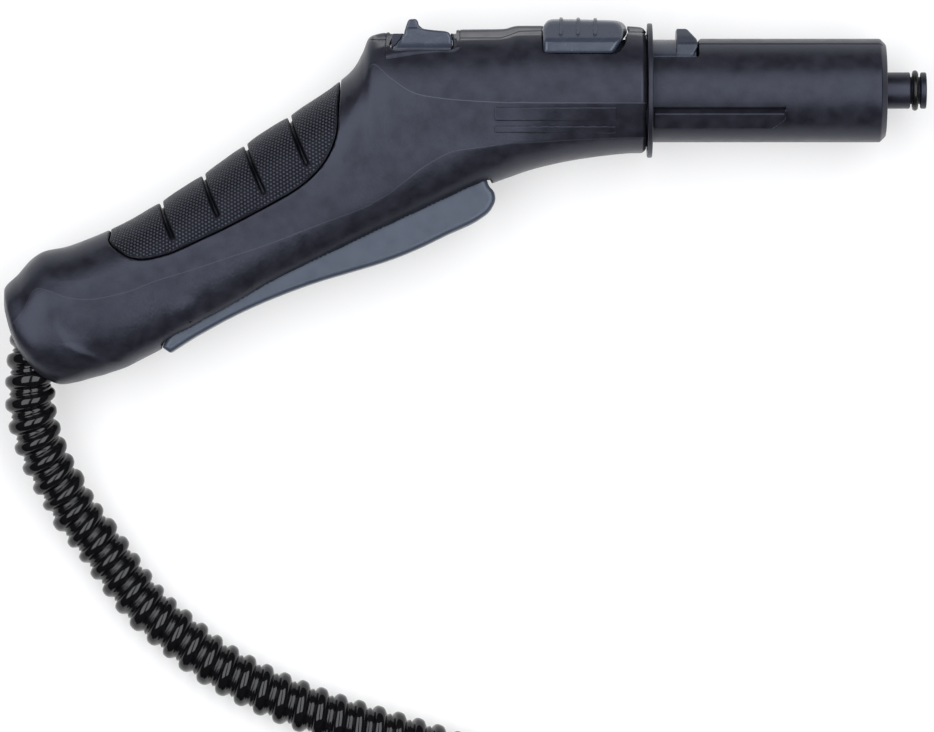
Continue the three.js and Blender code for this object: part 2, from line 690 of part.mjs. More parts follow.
// Barrel: a round shell with a front wall, a slot for the latch and a key rib on each side
function makeBarrel() {
  const inner = barrelRadius - barrelWall;
  const hole = pipeDiameter / 2 + fitGap;
  const profile = [
    [-barrelTail, inner], [-barrelTail, barrelRadius], [barrelLength - barrelChamfer, barrelRadius],
    [barrelLength, barrelRadius - barrelChamfer], [barrelLength, hole], [barrelLength - barrelWall, hole],
    [barrelLength - barrelWall, inner], [-barrelTail, inner],
  ];
  const origin = new THREE.Vector3(0, 0, 0);
  let barrel = turned(profile, barrelSides, origin, new THREE.Vector3(1, 0, 0));
  const slotHalf = armHalfWidth + fitGap;
  const slotFloor = Math.sqrt(barrelRadius ** 2 - slotHalf ** 2) - armThickness - barrelWall;
  barrel = barrel.subtract(block(-barrelTail - overrun, armReach + runGap + fitGap, slotFloor,
    barrelRadius + overrun,
    -slotHalf, slotHalf));
  const start = fitGap;
  const end = keyLength;
  const keyOutline = [
    [start, -keyWidth / 2], [end - keyPoint, -keyWidth / 2], [end, 0], [end - keyPoint, keyWidth / 2],
    [start, keyWidth / 2],
  ];
  for (const angle of [keyAngle, 180 - keyAngle]) {
    const geometry = new THREE.ExtrudeGeometry(shapeOf(keyOutline),
      { depth: keyRise + barrelWall / 2, bevelEnabled: false });
    geometry.translate(0, 0, barrelRadius - barrelWall / 2);
    geometry.rotateX(angle * degree);
    barrel = barrel.add(solid(geometry));
  }
  return barrel;
}

function makeCollar() {
  const hole = barrelRadius + fitGap;
  const spigotRadius = seatRadius - fitGap;
  const profile = [
    [-collarThickness - collarSpigot, hole], [-collarThickness - collarSpigot, spigotRadius],
    [-collarThickness, spigotRadius], [-collarThickness, collarRadius], [0, collarRadius], [0, hole],
    [-collarThickness - collarSpigot, hole],
  ];
  return turned(profile, barrelSides, new THREE.Vector3(0, 0, 0), new THREE.Vector3(1, 0, 0));
}

// Steam pipe: shoulder behind the barrel's front wall, a groove for the seal and a rounded lip
function makePipe() {
  const radius = pipeDiameter / 2;
  const tip = pipeReach;
  const grooveEnd = tip - pipeLip;
  const grooveStart = grooveEnd - grooveWidth;
  const back = -barrelWall - fitGap;
  const profile = [
    [back - pipeShoulderLength - pipeTail, pipeBore / 2],
    [back - pipeShoulderLength - pipeTail, tubeDiameter / 2 + fitGap + pipeLip],
    [back - pipeShoulderLength, tubeDiameter / 2 + fitGap + pipeLip], [back - pipeShoulderLength,
    pipeShoulder / 2],
    [back, pipeShoulder / 2], [back, radius], [grooveStart, radius], [grooveStart, radius - grooveDepth],
    [grooveEnd, radius - grooveDepth], [grooveEnd, radius], [tip - pipeLip / 3, radius], [tip,
    radius - pipeLip / 3],
    [tip, pipeBore / 2], [back - pipeShoulderLength - pipeTail, pipeBore / 2],
  ];
  const base = new THREE.Vector3(barrelLength, 0, 0);
  const pipe = turned(profile, smallSides, base, new THREE.Vector3(1, 0, 0));
  const socketEnd = barrelLength + back - pipeShoulderLength;
  const socket = rod(new THREE.Vector3(socketEnd - pipeTail - overrun, 0, 0),
    new THREE.Vector3(socketEnd, 0, 0), tubeDiameter / 2 + fitGap, smallSides);
  return pipe.subtract(socket);
}

// Steam valve: a round block with a plunger chamber, an outlet to the pipe and an inlet from the hose
function makeValve() {
  const body = rod(alongValve(valveStandOff), alongValve(valveTopEnd), valveDiameter / 2);
  const outlet = rod(outletCentre, new THREE.Vector3(outletFace, outletCentre.y, 0), portDiameter / 2,
    smallSides);
  const inlet = rod(inletCentre, new THREE.Vector3(inletFace, inletCentre.y, 0), portDiameter / 2,
    smallSides);
  const chamber = rod(alongValve(valveStandOff - overrun), alongValve(valveTopEnd - valveEndWall),
    chamberDiameter / 2, smallSides);
  const outletBore = rod(outletCentre, new THREE.Vector3(outletFace + overrun, outletCentre.y, 0),
    portBore / 2, smallSides);
  const inletBore = rod(inletCentre, new THREE.Vector3(inletFace - overrun, inletCentre.y, 0),
    portBore / 2, smallSides);
  return cut(join(body, outlet, inlet), chamber, outletBore, inletBore);
}

function makePlunger() {
  const stem = plungerStemDiameter / 2;
  const sealSeat = chamberDiameter / 2 - fitGap - sealWire;
  const profile = [
    [runGap, 0], [runGap, plungerHeadDiameter / 2], [runGap + plungerHeadHeight, plungerHeadDiameter / 2],
    [runGap + plungerHeadHeight, stem], [sealPlace - sealWire, stem], [sealPlace - sealWire,
    sealSeat - fitGap],
    [sealPlace + sealWire, sealSeat - fitGap], [sealPlace + sealWire, stem], [plungerStemEnd, stem],
    [plungerStemEnd, 0],
  ];
  return turned(profile, smallSides, plungerBase, plungerAxis);
}

// Trigger: a moulded channel, open towards the grip, with a hub at its rear and a pad for the plunger
function makeTrigger() {
  const half = triggerWidth / 2;
  const innerHalf = half - triggerWall;
  const blank = prism(triggerOutline, -half, half);
  const inner = offsetOutline(triggerOutline, -triggerWall).slice(...channelEnds);
  const [first, last] = [inner[0], inner[inner.length - 1]];
  const lift = plungerAxis.clone().multiplyScalar(housingDepth);
  const channel = prism([...inner, [last[0] + lift.x, last[1] + lift.y], [first[0] + lift.x,
    first[1] + lift.y]],
    -innerHalf, innerHalf);
  const hub = crossRod(triggerPivot, -half, half, triggerHubDiameter / 2 - fitGap, smallSides);
  const contact = rod(alongValve(-triggerWidth), alongValve(0), plungerHeadDiameter / 2 + triggerWall,
    smallSides)
    .intersect(blank);
  return cut(join(blank.subtract(channel), hub, contact),
    crossRod(triggerPivot, -half - overrun, half + overrun, pinRadius + fitGap, smallSides));
}

// Selector rocker: a hollow cap with a raised fin, hung on a hub between the bezel's ears
function makeRocker() {
  const half = rockerWidth / 2;
  const hubHalf = selectorHubWidth / 2;
  let rocker = prism(rockerOutline, -half, half);
  const finFrom = selectorPivot[0] + finFromShare * rockerLength;
  const finTo = selectorPivot[0] + finToShare * rockerLength;
  const shoulder = selectorPivot[1] + rockerHeight / 2;
  for (const [low, high] of [[finWidth / 2, half + overrun], [-half - overrun, -finWidth / 2]]) {
    rocker = rocker.subtract(block(finFrom, finTo, shoulder, shoulder + rockerHeight, low, high));
  }
  rocker = rocker.subtract(prism(rockerHollow, rockerWall - half, half - rockerWall));
  const hub = crossRod(selectorPivot, -hubHalf, hubHalf, selectorHubDiameter / 2, smallSides);
  const web = block(selectorPivot[0] - rockerWall, selectorPivot[0] + rockerWall, selectorPivot[1],
    selectorPivot[1] + rockerHeight * selectorWebShare, -hubHalf, hubHalf);
  rocker = join(rocker, hub, web);
  return rocker.subtract(crossRod(selectorPivot, -half, half, selectorPinDiameter / 2 + fitGap, smallSides)
    .intersect(block(bezelRear, bezelFront, bezelBase, buttonTop, -half + rockerWall, half - rockerWall)));
}

function makeBezel() {
  const half = bezelHalfWidth;
  const lip = housingTop - bezelLipDrop;
  const [, rimTop] = side(...bezelRimShares);
  const floorTop = bezelBase + bezelFloor;
  const earFrom = selectorHubWidth / 2 + fitGap;
  const earTop = selectorPivot[1];
  const earHalf = selectorHubDiameter / 2;
  let bezel = join(
    block(bezelRear, bezelFront, bezelBase, floorTop, -half, half),
    block(bezelRear, bezelFront, bezelBase, lip, half - bezelWall, half),
    block(bezelRear, bezelFront, bezelBase, lip, -half, bezelWall - half),
    block(bezelRear, bezelRear + bezelWall, bezelBase, rimTop, -half, half),
    block(bezelFront - bezelWall, bezelFront, bezelBase, rimTop, -half, half));
  for (const [low, high] of [[earFrom, earFrom + selectorEarThickness], [-earFrom - selectorEarThickness,
    -earFrom]]) {
    bezel = join(bezel,
      block(selectorPivot[0] - earHalf, selectorPivot[0] + earHalf, bezelBase, earTop, low, high),
      crossRod(selectorPivot, low, high, earHalf, smallSides));
  }
  const reach = earFrom + selectorEarThickness + fitGap;
  bezel = bezel.subtract(crossRod(selectorPivot, -reach, reach, selectorPinDiameter / 2 + fitGap,
    smallSides));
  return bezel.intersect(housingLoft(0));
}

function makeDetent() {
  const x = selectorPivot[0];
  const bottom = bezelBase + bezelFloor + fitGap;
  return block(x - detentLength / 2, x + detentLength / 2, bottom, bottom + detentThickness,
    -detentWidth / 2, detentWidth / 2);
}

// Unlock button: a saddle over the top of the body, hollow below, with three short ribs
function buttonBlank(rise) {
  const [x, y] = buttonFoot;
  const outline = buttonSideShares.map(([along, up]) => [x + along * buttonLength,
    y + up * (buttonHeight + rise)]);
  const half = buttonWidth / 2;
  const right = buttonSectionShares.map(([across, up]) => [across * half, y + up * (buttonHeight + rise)]);
  const skirt = [[half, buttonFloor], [-half, buttonFloor]];
  const left = right.map(([across, up]) => [-across, up]).reverse();
  const section = [...right, ...skirt, ...left].map(([across, up]) => [-across, up]);
  const geometry = new THREE.ExtrudeGeometry(shapeOf(section), { depth: buttonLength, bevelEnabled: false });
  geometry.rotateY(90 * degree);
  geometry.translate(x, 0, 0);
  const underside = buttonUndersideShares.map(([along, up]) => [
    x + along * buttonLength, up ? y + up * buttonHeight : buttonFloor]);
  return solid(geometry).intersect(prism([[x, buttonFloor], ...underside, ...outline.reverse()], -half,
    half));
}

function makeButton() {
  const [x, y] = buttonFoot;
  const half = buttonWidth / 2;
  let button = buttonBlank(0);
  const ribbed = buttonBlank(buttonRibRise);
  for (const share of buttonRibShares) {
    const ribX = x + share * buttonLength;
    const bar = block(ribX - buttonRibWidth / 2, ribX + buttonRibWidth / 2, y + buttonHeight / 2,
      buttonTop + overrun, -half * buttonRibSpanShare, half * buttonRibSpanShare);
    button = button.add(ribbed.intersect(bar));
  }
  const room = block(x + buttonWall, x + buttonLength - buttonWall * 2, buttonFloor - overrun,
    buttonTop - buttonWall * 2, buttonWall * 3 - half, half - buttonWall * 3);
  button = button.subtract(room);
  const postX = latchPivot[0] + latchSpringPlace;
  const saddleHeight = new THREE.Vector3(0, buttonTravel, 0);
  const saddle = rod(new THREE.Vector3(-barrelTail - runGap, 0, 0).add(saddleHeight),
    new THREE.Vector3(overrun, 0, 0).add(saddleHeight), barrelRadius + runGap, barrelSides);
  return button.subtract(saddle).add(block(postX - armThickness, postX + armThickness, barTop + fitGap,
    buttonTop - buttonWall, -latchEyeWidth / 2, latchEyeWidth / 2));
}

// Latch arm: an eye on its pin, a bar under the button and a curved tongue with a tooth in the barrel's slot
function makeArm() {
  const [pinX, pinY] = latchPivot;
  const eye = latchEyeDiameter / 2;
  const half = latchEyeWidth / 2;
  const outer = barrelRadius - fitGap;
  const inner = outer - armThickness;
  const bar = prism([
    [pinX, pinY], [pinX + eye, pinY], [pinX + eye * armNeckShare, barTop - armThickness],
    [-barrelTail + armThickness, barTop - armThickness], [-barrelTail + armThickness, barTop],
    [pinX + eye * armCrownShare, barTop],
  ], -half, half);
  const tongueProfile = [
    [-barrelTail + fitGap, inner], [-barrelTail + fitGap, outer], [armReach, outer], [armReach, inner],
    [-barrelTail + fitGap, inner],
  ];
  const tongue = turned(tongueProfile, barrelSides, new THREE.Vector3(0, 0, 0), new THREE.Vector3(1, 0, 0))
    .intersect(block(-barrelTail, armReach, 0, collarRadius, -armHalfWidth, armHalfWidth));
  const riser = block(-barrelTail + fitGap, -barrelTail + armThickness, barTop - armThickness,
    inner + armThickness / 3, -half, half);
  const toothTop = barrelRadius + toothRise;
  const toothFront = armReach - fitGap;
  const toothRear = toothFront - toothLength;
  const tooth = prism([
    [toothRear, inner + armThickness / 2], [toothFront, inner + armThickness / 2], [toothFront, barrelRadius],
    [toothFront - toothLength * toothSlopeShare, toothTop], [toothRear, toothTop],
  ], -toothWidth / 2, toothWidth / 2);
  const arm = join(bar, crossRod(latchPivot, -half, half, eye, smallSides), tongue, riser, tooth);
  return arm.subtract(crossRod(latchPivot, -half - overrun, half + overrun, latchPinDiameter / 2 + fitGap,
    smallSides));
}

// A tube bent along a curve, with its bore
function bentTube(points, radius, boreRadius, steps) {
  const path = new THREE.CatmullRomCurve3(points, false, 'centripetal');
  const ring = new THREE.Shape();
  ring.absarc(0, 0, radius, 0, 2 * Math.PI, false);
  const bore = new THREE.Path();
  bore.absarc(0, 0, boreRadius, 0, 2 * Math.PI, true);
  ring.holes.push(bore);
  const geometry = new THREE.ExtrudeGeometry(ring, { steps, extrudePath: path, curveSegments: 4,
    bevelEnabled: false });
  return solid(geometry);
}

// Feed tube route through the grip, from the hose socket to the valve's inlet
const feedRouteShares = [
  [0.9222, 0.6890], [0.8966, 0.6750], [0.8640, 0.6540], [0.7887, 0.5868], [0.6954, 0.4950], [0.6021,
    0.4088], [0.5087, 0.3420],
];

function makeFeedTube() {
  const start = alongSocket(-socketLength - fitGap);
  const end = new THREE.Vector3(inletFace - fitGap, inletCentre.y, 0);
  const points = [
    start, start.clone().addScaledVector(exitDirection, -tubeElbow),
    ...sideOutline(feedRouteShares).map(([x, y]) => new THREE.Vector3(x, y, 0)),
    end.clone().setX(end.x - tubeDiameter), end,
  ];
  return bentTube(points, tubeDiameter / 2, tubeBore / 2, 14);
}

function makeOutletTube() {
  const end = barrelLength - barrelWall - fitGap - pipeShoulderLength - fitGap;
  const body = rod(new THREE.Vector3(outletFace + fitGap, 0, 0), new THREE.Vector3(end, 0, 0),
    tubeDiameter / 2,
    smallSides);
  const bore = rod(new THREE.Vector3(outletFace - overrun, 0, 0), new THREE.Vector3(end + overrun, 0, 0),
    tubeBore / 2, smallSides);
  return body.subtract(bore);
}

// Hose socket in the butt: a lip as wide as the hose, and a neck that the cradle holds
function makeSocket() {
  const profile = [
    [0, tubeBore / 2], [0, hoseDiameter / 2], [socketLip, hoseDiameter / 2], [socketLip,
    socketNeckDiameter / 2],
    [socketLength, socketNeckDiameter / 2], [socketLength, tubeBore / 2], [0, tubeBore / 2],
  ];
  return turned(profile, roundSides, socketMouth, exitDirection.clone().negate());
}

function makeScrew([x, y]) {
  const radius = screwDiameter / 2;
  const head = screwHeadDiameter / 2;
  const profile = [
    [-screwHeadHeight, 0], [-screwHeadHeight, head], [-fitGap / 2, head], [-fitGap / 2, radius],
    [screwSeat + screwReach - radius, radius], [screwSeat + screwReach, 0],
  ];
  const base = new THREE.Vector3(x, y, -screwSeat - fitGap / 2);
  const screw = turned(profile, smallSides, base, new THREE.Vector3(0, 0, 1));
  const slotTop = base.z - screwHeadHeight;
  return screw.subtract(block(x - screwSlotWidth / 2, x + screwSlotWidth / 2, y - screwHeadDiameter,
    y + screwHeadDiameter, slotTop - overrun, slotTop + screwSlotDepth));
}

// The gun, put together
const gun = new THREE.Group();
const housing = makeHousing();
addPiece(gun, 'housing_right', housing.intersect(halfSpace(1)), 'charcoal');
addPiece(gun, 'housing_left', housing.intersect(halfSpace(-1)), 'charcoal');
addPiece(gun, 'grip_pad', makePad(), 'pad');
addPiece(gun, 'barrel', makeBarrel(), 'charcoal');
addPiece(gun, 'collar', makeCollar(), 'charcoal');
addPiece(gun, 'steam_pipe', makePipe(), 'charcoal');
const sealCentre = new THREE.Vector3(barrelLength + pipeReach - pipeLip - grooveWidth / 2, 0, 0);
const sealMean = pipeDiameter / 2 - grooveDepth + ringWire / 2 + fitGap;
addPiece(gun, 'pipe_o_ring', roundRing(sealCentre, new THREE.Vector3(1, 0, 0), sealMean, ringWire), 'rubber');
addPiece(gun, 'steam_outlet_tube', makeOutletTube(), 'tube');
addPiece(gun, 'valve_body', makeValve(), 'brass');
addPiece(gun, 'valve_plunger', makePlunger(), 'steel');
const plungerSealMean = chamberDiameter / 2 - fitGap - sealWire / 2;
addPiece(gun, 'plunger_o_ring',
  roundRing(alongValve(sealPlace), plungerAxis, plungerSealMean, sealWire), 'rubber');
const springFoot = runGap + plungerHeadHeight + fitGap;
addPiece(gun, 'plunger_spring', coilSpring(alongValve(springFoot), plungerAxis,
  valveStandOff - fitGap - springFoot, springMeanDiameter - springWire, springWire, springCurls), 'steel');
addPiece(gun, 'steam_feed_tube', makeFeedTube(), 'tube');
addPiece(gun, 'hose_socket', makeSocket(), 'brass');
addPiece(gun, 'trigger', makeTrigger(), 'grey');
addPiece(gun, 'trigger_pin',
  crossRod(triggerPivot, -triggerPinLength / 2, triggerPinLength / 2, pinRadius, smallSides), 'steel');
addPiece(gun, 'selector_bezel', makeBezel(), 'charcoal');
addPiece(gun, 'selector_rocker', makeRocker(), 'grey');
const selectorPinHalf = selectorHubWidth / 2 + fitGap + selectorEarThickness;
addPiece(gun, 'selector_pin',
  crossRod(selectorPivot, -selectorPinHalf, selectorPinHalf, selectorPinDiameter / 2, smallSides), 'steel');
addPiece(gun, 'selector_detent', makeDetent(), 'steel');
addPiece(gun, 'unlock_button', makeButton(), 'grey');
addPiece(gun, 'latch_arm', makeArm(), 'grey');
addPiece(gun, 'latch_pin',
  crossRod(latchPivot, -latchPinLength / 2, latchPinLength / 2, latchPinDiameter / 2, smallSides), 'steel');
const latchSpringBase = new THREE.Vector3(latchPivot[0] + latchSpringPlace, shelfTop + fitGap, 0);
const latchSpringLength = barTop - armThickness - shelfTop - fitGap * 2;
addPiece(gun, 'latch_spring', coilSpring(latchSpringBase, new THREE.Vector3(0, 1, 0), latchSpringLength,
  latchSpringDiameter - latchSpringWire, latchSpringWire, latchSpringCurls), 'steel');
screwPlaces.forEach((place, index) => addPiece(gun, `housing_screw_${index + 1}`, makeScrew(place), 'steel'));

// The gun lies on its collar's rim, centred over the origin
const gunBox = new THREE.Box3().setFromObject(gun);
const gunCentre = gunBox.getCenter(new THREE.Vector3());
const gunShift = new THREE.Vector3(-gunCentre.x, -gunCentre.y, -gunBox.min.z);
gun.position.copy(gunShift);

// Hose centreline on the table. Where it lies free its points are chosen by hand.
const hoseRadius = hoseDiameter / 2;
const mouth = socketMouth.clone().add(gunShift);
const freeStart = mouth.clone().addScaledVector(exitDirection, fitGap);
const freeRoute = [
  [-147.7, -60.2, 22.7], [-148.0, -65.7, 21.9], [-147.5, -72.6, 20.5], [-146.1, -79.1, 18.8],
  [-143.9, -85.7, 17.0], [-141.1, -92.0, 15.1], [-137.3, -98.5, 13.3], [-132.9, -106.7, 11.5],
  [-126.3, -115.0, 10.0], [-120.5, -123.3, 9.1], [-114.6, -131.5, 8.7], [-107.7, -139.8, 8.7],
  [-98.1, -148.0, 8.7], [-87.8, -156.3, 8.7], [-73.7, -164.6, 8.7], [-58.5, -171.6, 8.7],
  [-43.1, -177.2, 8.7], [-26.0, -182.4, 8.7],
];
const tailRoute = [
  [-106.6, -390.7, 26.0], [-124.0, -376.3, 23.2], [-137.8, -358.3, 18.6], [-147.2, -337.7, 14.4],
];
const plugHeading = 95;
const tailEndX = -153.4;
const tailEndY = -295.5;

// Coil: it winds in, climbs a layer in half a turn where the spiral turns back, and winds out again
function coilPoint(turns) {
  const angle = (coilStartAngle - 360 * turns) * degree;
  const inward = Math.min(turns, coilTurns - turns);
  const radius = coilRadius - coilSpacing * inward;
  const climb = THREE.MathUtils.clamp((turns - coilTurns / 2) / coilClimbTurns + 0.5, 0, 1);
  const rise = climb * climb * (3 - 2 * climb);
  return new THREE.Vector3(coilCentreX + radius * Math.cos(angle), coilCentreY + radius * Math.sin(angle),
    hoseRadius + coilSpacing * rise);
}

// Points that keep a hose's end straight, from its end point inwards
function straightFrom(end, direction) {
  return straightShares.map((share) => end.clone().addScaledVector(direction, share * hoseDiameter));
}

function headingVector(degrees) {
  return new THREE.Vector3(Math.cos(degrees * degree), Math.sin(degrees * degree), 0);
}

const coilCount = Math.round(coilTurns * coilPointsPerTurn);
const coilLoop = Array.from({ length: coilCount + 1 }, (unused,
  index) => coilPoint(index * coilTurns / coilCount));
const coilIn = headingVector(coilStartAngle - 90);
const coilOut = headingVector(coilStartAngle - 90 - 360 * coilTurns);
const straightRun = straightShares[straightShares.length - 1] * hoseDiameter;
const coilStart = coilLoop[0].clone().addScaledVector(coilIn, -straightRun);
const coilEnd = coilLoop[coilCount].clone().addScaledVector(coilOut, straightRun);
const coilPath = [...straightFrom(coilStart, coilIn), ...coilLoop.slice(1, -1),
  ...straightFrom(coilEnd, coilOut.clone().negate()).reverse()];

const freeEnd = coilStart.clone().addScaledVector(coilIn, -fitGap);
const freePath = [
  ...straightFrom(freeStart, exitDirection),
  ...freeRoute.map((point) => new THREE.Vector3(...point)),
  ...straightFrom(freeEnd, coilIn.clone().negate()).reverse(),
];

const tailStart = coilEnd.clone().addScaledVector(coilOut, fitGap);
const plugAxis = headingVector(plugHeading);
const tailEnd = new THREE.Vector3(tailEndX, tailEndY, plugAxisHeight);
const tailPath = [
  ...straightFrom(tailStart, coilOut),
  ...tailRoute.map((point) => new THREE.Vector3(...point)),
  ...straightFrom(tailEnd, plugAxis.clone().negate()).reverse(),
];

// Even stations along a path, each with its tangent
function stations(path, count) {
  const curve = new THREE.CatmullRomCurve3(path, false, 'centripetal');
  curve.arcLengthDivisions = path.length * arcSteps;
  return Array.from({ length: count + 1 }, (unused, index) => ({
    centre: curve.getPointAt(index / count),
    tangent: curve.getTangentAt(index / count),
  }));
}

// A ribbed hose: a rib is a root ring and a crest ring, and the bore has a ring every few ribs
function ribbedHose(path, ribs, boreEvery = ribsPerBoreRing) {
  const rows = stations(path, ribs * 2);
  const positions = [];
  const addRing = ({ centre, tangent }, radius) => {
    const across = new THREE.Vector3(0, 0, 1).cross(tangent).normalize();
    const up = tangent.clone().cross(across);
    const first = positions.length / 3;
    for (let step = 0; step < hoseSides; step += 1) {
      const angle = (step / hoseSides) * 2 * Math.PI;
      const point = centre.clone().addScaledVector(across, Math.cos(angle) * radius)
        .addScaledVector(up, Math.sin(angle) * radius);
      positions.push(point.x, point.y, point.z);
    }
    return first;
  };
  const outer = rows.map((row, index) => addRing(row, index % 2 ? hoseRadius : hoseRoot / 2));
  const boreRows = rows.filter((row, index) => index % (2 * boreEvery) === 0 || index === rows.length - 1);
  const inner = boreRows.map((row) => addRing(row, hoseBore / 2));
  const faces = [];
  const band = (from, to) => {
    for (let step = 0; step < hoseSides; step += 1) {
      const next = (step + 1) % hoseSides;
      faces.push(from + step, from + next, to + next, from + step, to + next, to + step);
    }
  };
  for (let ring = 0; ring + 1 < outer.length; ring += 1) {
    band(outer[ring], outer[ring + 1]);
  }
  for (let ring = 0; ring + 1 < inner.length; ring += 1) {
    band(inner[ring + 1], inner[ring]);
  }
  band(inner[0], outer[0]);
  band(outer[outer.length - 1], inner[inner.length - 1]);
  const geometry = new THREE.BufferGeometry();
  geometry.setAttribute('position', new THREE.BufferAttribute(new Float32Array(positions), 3));
  geometry.setIndex(faces);
  return solid(geometry);
}

// The least gap between turns of the coil, on points at least half a turn apart along it
function coilGap() {
  const rows = stations(coilPath, coilTurns * coilPointsPerTurn * 2).map((row) => row.centre);
  const apart = coilPointsPerTurn;
  let least = Infinity;
  rows.forEach((point, index) => {
    for (let other = index + apart; other < rows.length; other += 1) {
      least = Math.min(least, point.distanceTo(rows[other]));
    }
  });
  return least - hoseDiameter;
}
console.log(`least gap between the coil's turns: ${coilGap().toFixed(2)} mm`);

const lengthOf = (path) => new THREE.CatmullRomCurve3(path, false, 'centripetal').getLength();
console.log(`hose lengths: ${[freePath, coilPath,
  tailPath].map((path) => lengthOf(path).toFixed(0)).join(' ')}`);

const object = new THREE.Group();
object.add(gun);
addPiece(object, 'hose_free', ribbedHose(freePath, freeRibs), 'hose');
addPiece(object, 'hose_coil', ribbedHose(coilPath, coilRibs, coilRibsPerBoreRing), 'hose');
addPiece(object, 'hose_tail', ribbedHose(tailPath, tailRibs), 'hose');

// Steam plug: drawn along its own X from the hose's end
const plug = new THREE.Group();
const alongPlug = new THREE.Vector3(1, 0, 0);
const cuffStart = fitGap;
const bodyStart = cuffStart + cuffLength + fitGap;
const bodyEnd = bodyStart + plugLength;
const nippleStart = bodyEnd - nippleFlangeLength;

function makeCuff() {
  const bore = tubeDiameter / 2;
  const profile = [
    [0, bore], [0, cuffStartDiameter / 2], [cuffLength, cuffEndDiameter / 2], [cuffLength, bore], [0, bore],
  ];
  return turned(profile, roundSides, new THREE.Vector3(cuffStart, 0, 0), alongPlug);
}

function makePlugBody() {
  const halfWidth = plugWidth / 2;
  const halfHeight = plugHeight / 2;
  const outline = new THREE.Shape();
  outline.moveTo(-halfHeight + plugCorner, -halfWidth);
  outline.lineTo(halfHeight - plugCorner, -halfWidth);
  outline.absarc(halfHeight - plugCorner, -halfWidth + plugCorner, plugCorner, -90 * degree, 0, false);
  outline.absarc(halfHeight - plugCorner, halfWidth - plugCorner, plugCorner, 0, 90 * degree, false);
  outline.absarc(-halfHeight + plugCorner, halfWidth - plugCorner, plugCorner, 90 * degree, 180 * degree,
    false);
  outline.absarc(-halfHeight + plugCorner, -halfWidth + plugCorner, plugCorner, 180 * degree, 270 * degree,
    false);
  const geometry = new THREE.ExtrudeGeometry(outline, { depth: plugLength, curveSegments: 4,
    bevelEnabled: false });
  geometry.rotateY(90 * degree);
  geometry.translate(bodyStart, 0, 0);
  const catchStart = bodyStart + plugLength / 2;
  const bore = rod(new THREE.Vector3(bodyStart - overrun, 0, 0), new THREE.Vector3(bodyEnd + overrun, 0, 0),
    tubeDiameter / 2, smallSides);
  const ledge = block(catchStart, catchStart + catchWidth, -halfWidth / 2, halfWidth / 2,
    halfHeight - catchDepth,
    halfHeight + overrun);
  const recess = rod(new THREE.Vector3(nippleStart - fitGap, 0, 0), new THREE.Vector3(bodyEnd + overrun, 0,
    0),
    nippleFlange / 2 + fitGap);
  return cut(solid(geometry), bore, ledge, recess);
}

function makeNipple() {
  const radius = nippleDiameter / 2;
  const bore = pipeBore / 2;
  const grooveEnd = nippleReach - pipeLip;
  const grooveStart = grooveEnd - grooveWidth;
  const profile = [
    [0, bore], [0, nippleFlange / 2], [nippleFlangeLength, nippleFlange / 2], [nippleFlangeLength, radius],
    [grooveStart, radius], [grooveStart, radius - grooveDepth], [grooveEnd, radius - grooveDepth],
    [grooveEnd, radius], [nippleReach, radius], [nippleReach, bore], [0, bore],
  ];
  return turned(profile, smallSides, new THREE.Vector3(nippleStart, 0, 0), alongPlug);
}

addPiece(plug, 'plug_cuff', makeCuff(), 'rubber');
addPiece(plug, 'plug_body', makePlugBody(), 'charcoal');
addPiece(plug, 'plug_nipple', makeNipple(), 'brass');
const plugSealCentre = new THREE.Vector3(nippleStart + nippleReach - pipeLip - grooveWidth / 2, 0, 0);
const plugSealMean = nippleDiameter / 2 - grooveDepth + ringWire / 2 + fitGap;
addPiece(plug, 'plug_o_ring', roundRing(plugSealCentre, alongPlug, plugSealMean, ringWire), 'rubber');
plug.rotation.z = plugHeading * degree;
plug.position.copy(tailEnd);
object.add(plug);

export default object;
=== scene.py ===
import math

import bpy
import numpy as np
from mathutils import Matrix, Vector


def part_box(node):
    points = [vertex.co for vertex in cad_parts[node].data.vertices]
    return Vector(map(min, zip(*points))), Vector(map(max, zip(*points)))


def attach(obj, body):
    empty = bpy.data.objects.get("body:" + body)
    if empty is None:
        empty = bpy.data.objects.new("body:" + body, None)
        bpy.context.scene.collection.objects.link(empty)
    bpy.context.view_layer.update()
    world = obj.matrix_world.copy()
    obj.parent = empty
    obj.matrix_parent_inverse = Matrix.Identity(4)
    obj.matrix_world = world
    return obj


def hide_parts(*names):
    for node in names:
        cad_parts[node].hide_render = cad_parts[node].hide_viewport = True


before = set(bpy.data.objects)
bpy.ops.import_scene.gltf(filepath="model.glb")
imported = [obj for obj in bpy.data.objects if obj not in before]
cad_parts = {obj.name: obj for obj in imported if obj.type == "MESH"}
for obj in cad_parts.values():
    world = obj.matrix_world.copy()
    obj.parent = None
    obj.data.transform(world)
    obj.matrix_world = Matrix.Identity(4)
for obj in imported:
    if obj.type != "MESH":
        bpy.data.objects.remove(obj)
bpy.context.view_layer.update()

scene = bpy.context.scene
mm = 0.001

# Camera
# A long lens straight above the gun, which lies on its left side on a table.
# The frame takes in the gun and the first bend of its hose.
collar_low, collar_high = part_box("collar")
gun_place = np.array([
    collar_high.x, (collar_low.y + collar_high.y) / 2, (collar_low.z + collar_high.z) / 2])
frame_centre_x, frame_centre_y = -62.9 * mm, -93.67 * mm
frame_width = 317.6 * mm
lens_length, sensor_width = 300.0, 36.0

camera_data = bpy.data.cameras.new("camera")
camera_data.lens = lens_length
camera_data.sensor_width = sensor_width
camera = bpy.data.objects.new("camera", camera_data)
camera.location = Vector(gun_place) + Vector(
    (frame_centre_x, frame_centre_y, frame_width * lens_length / sensor_width))
scene.collection.objects.link(camera)
scene.camera = camera

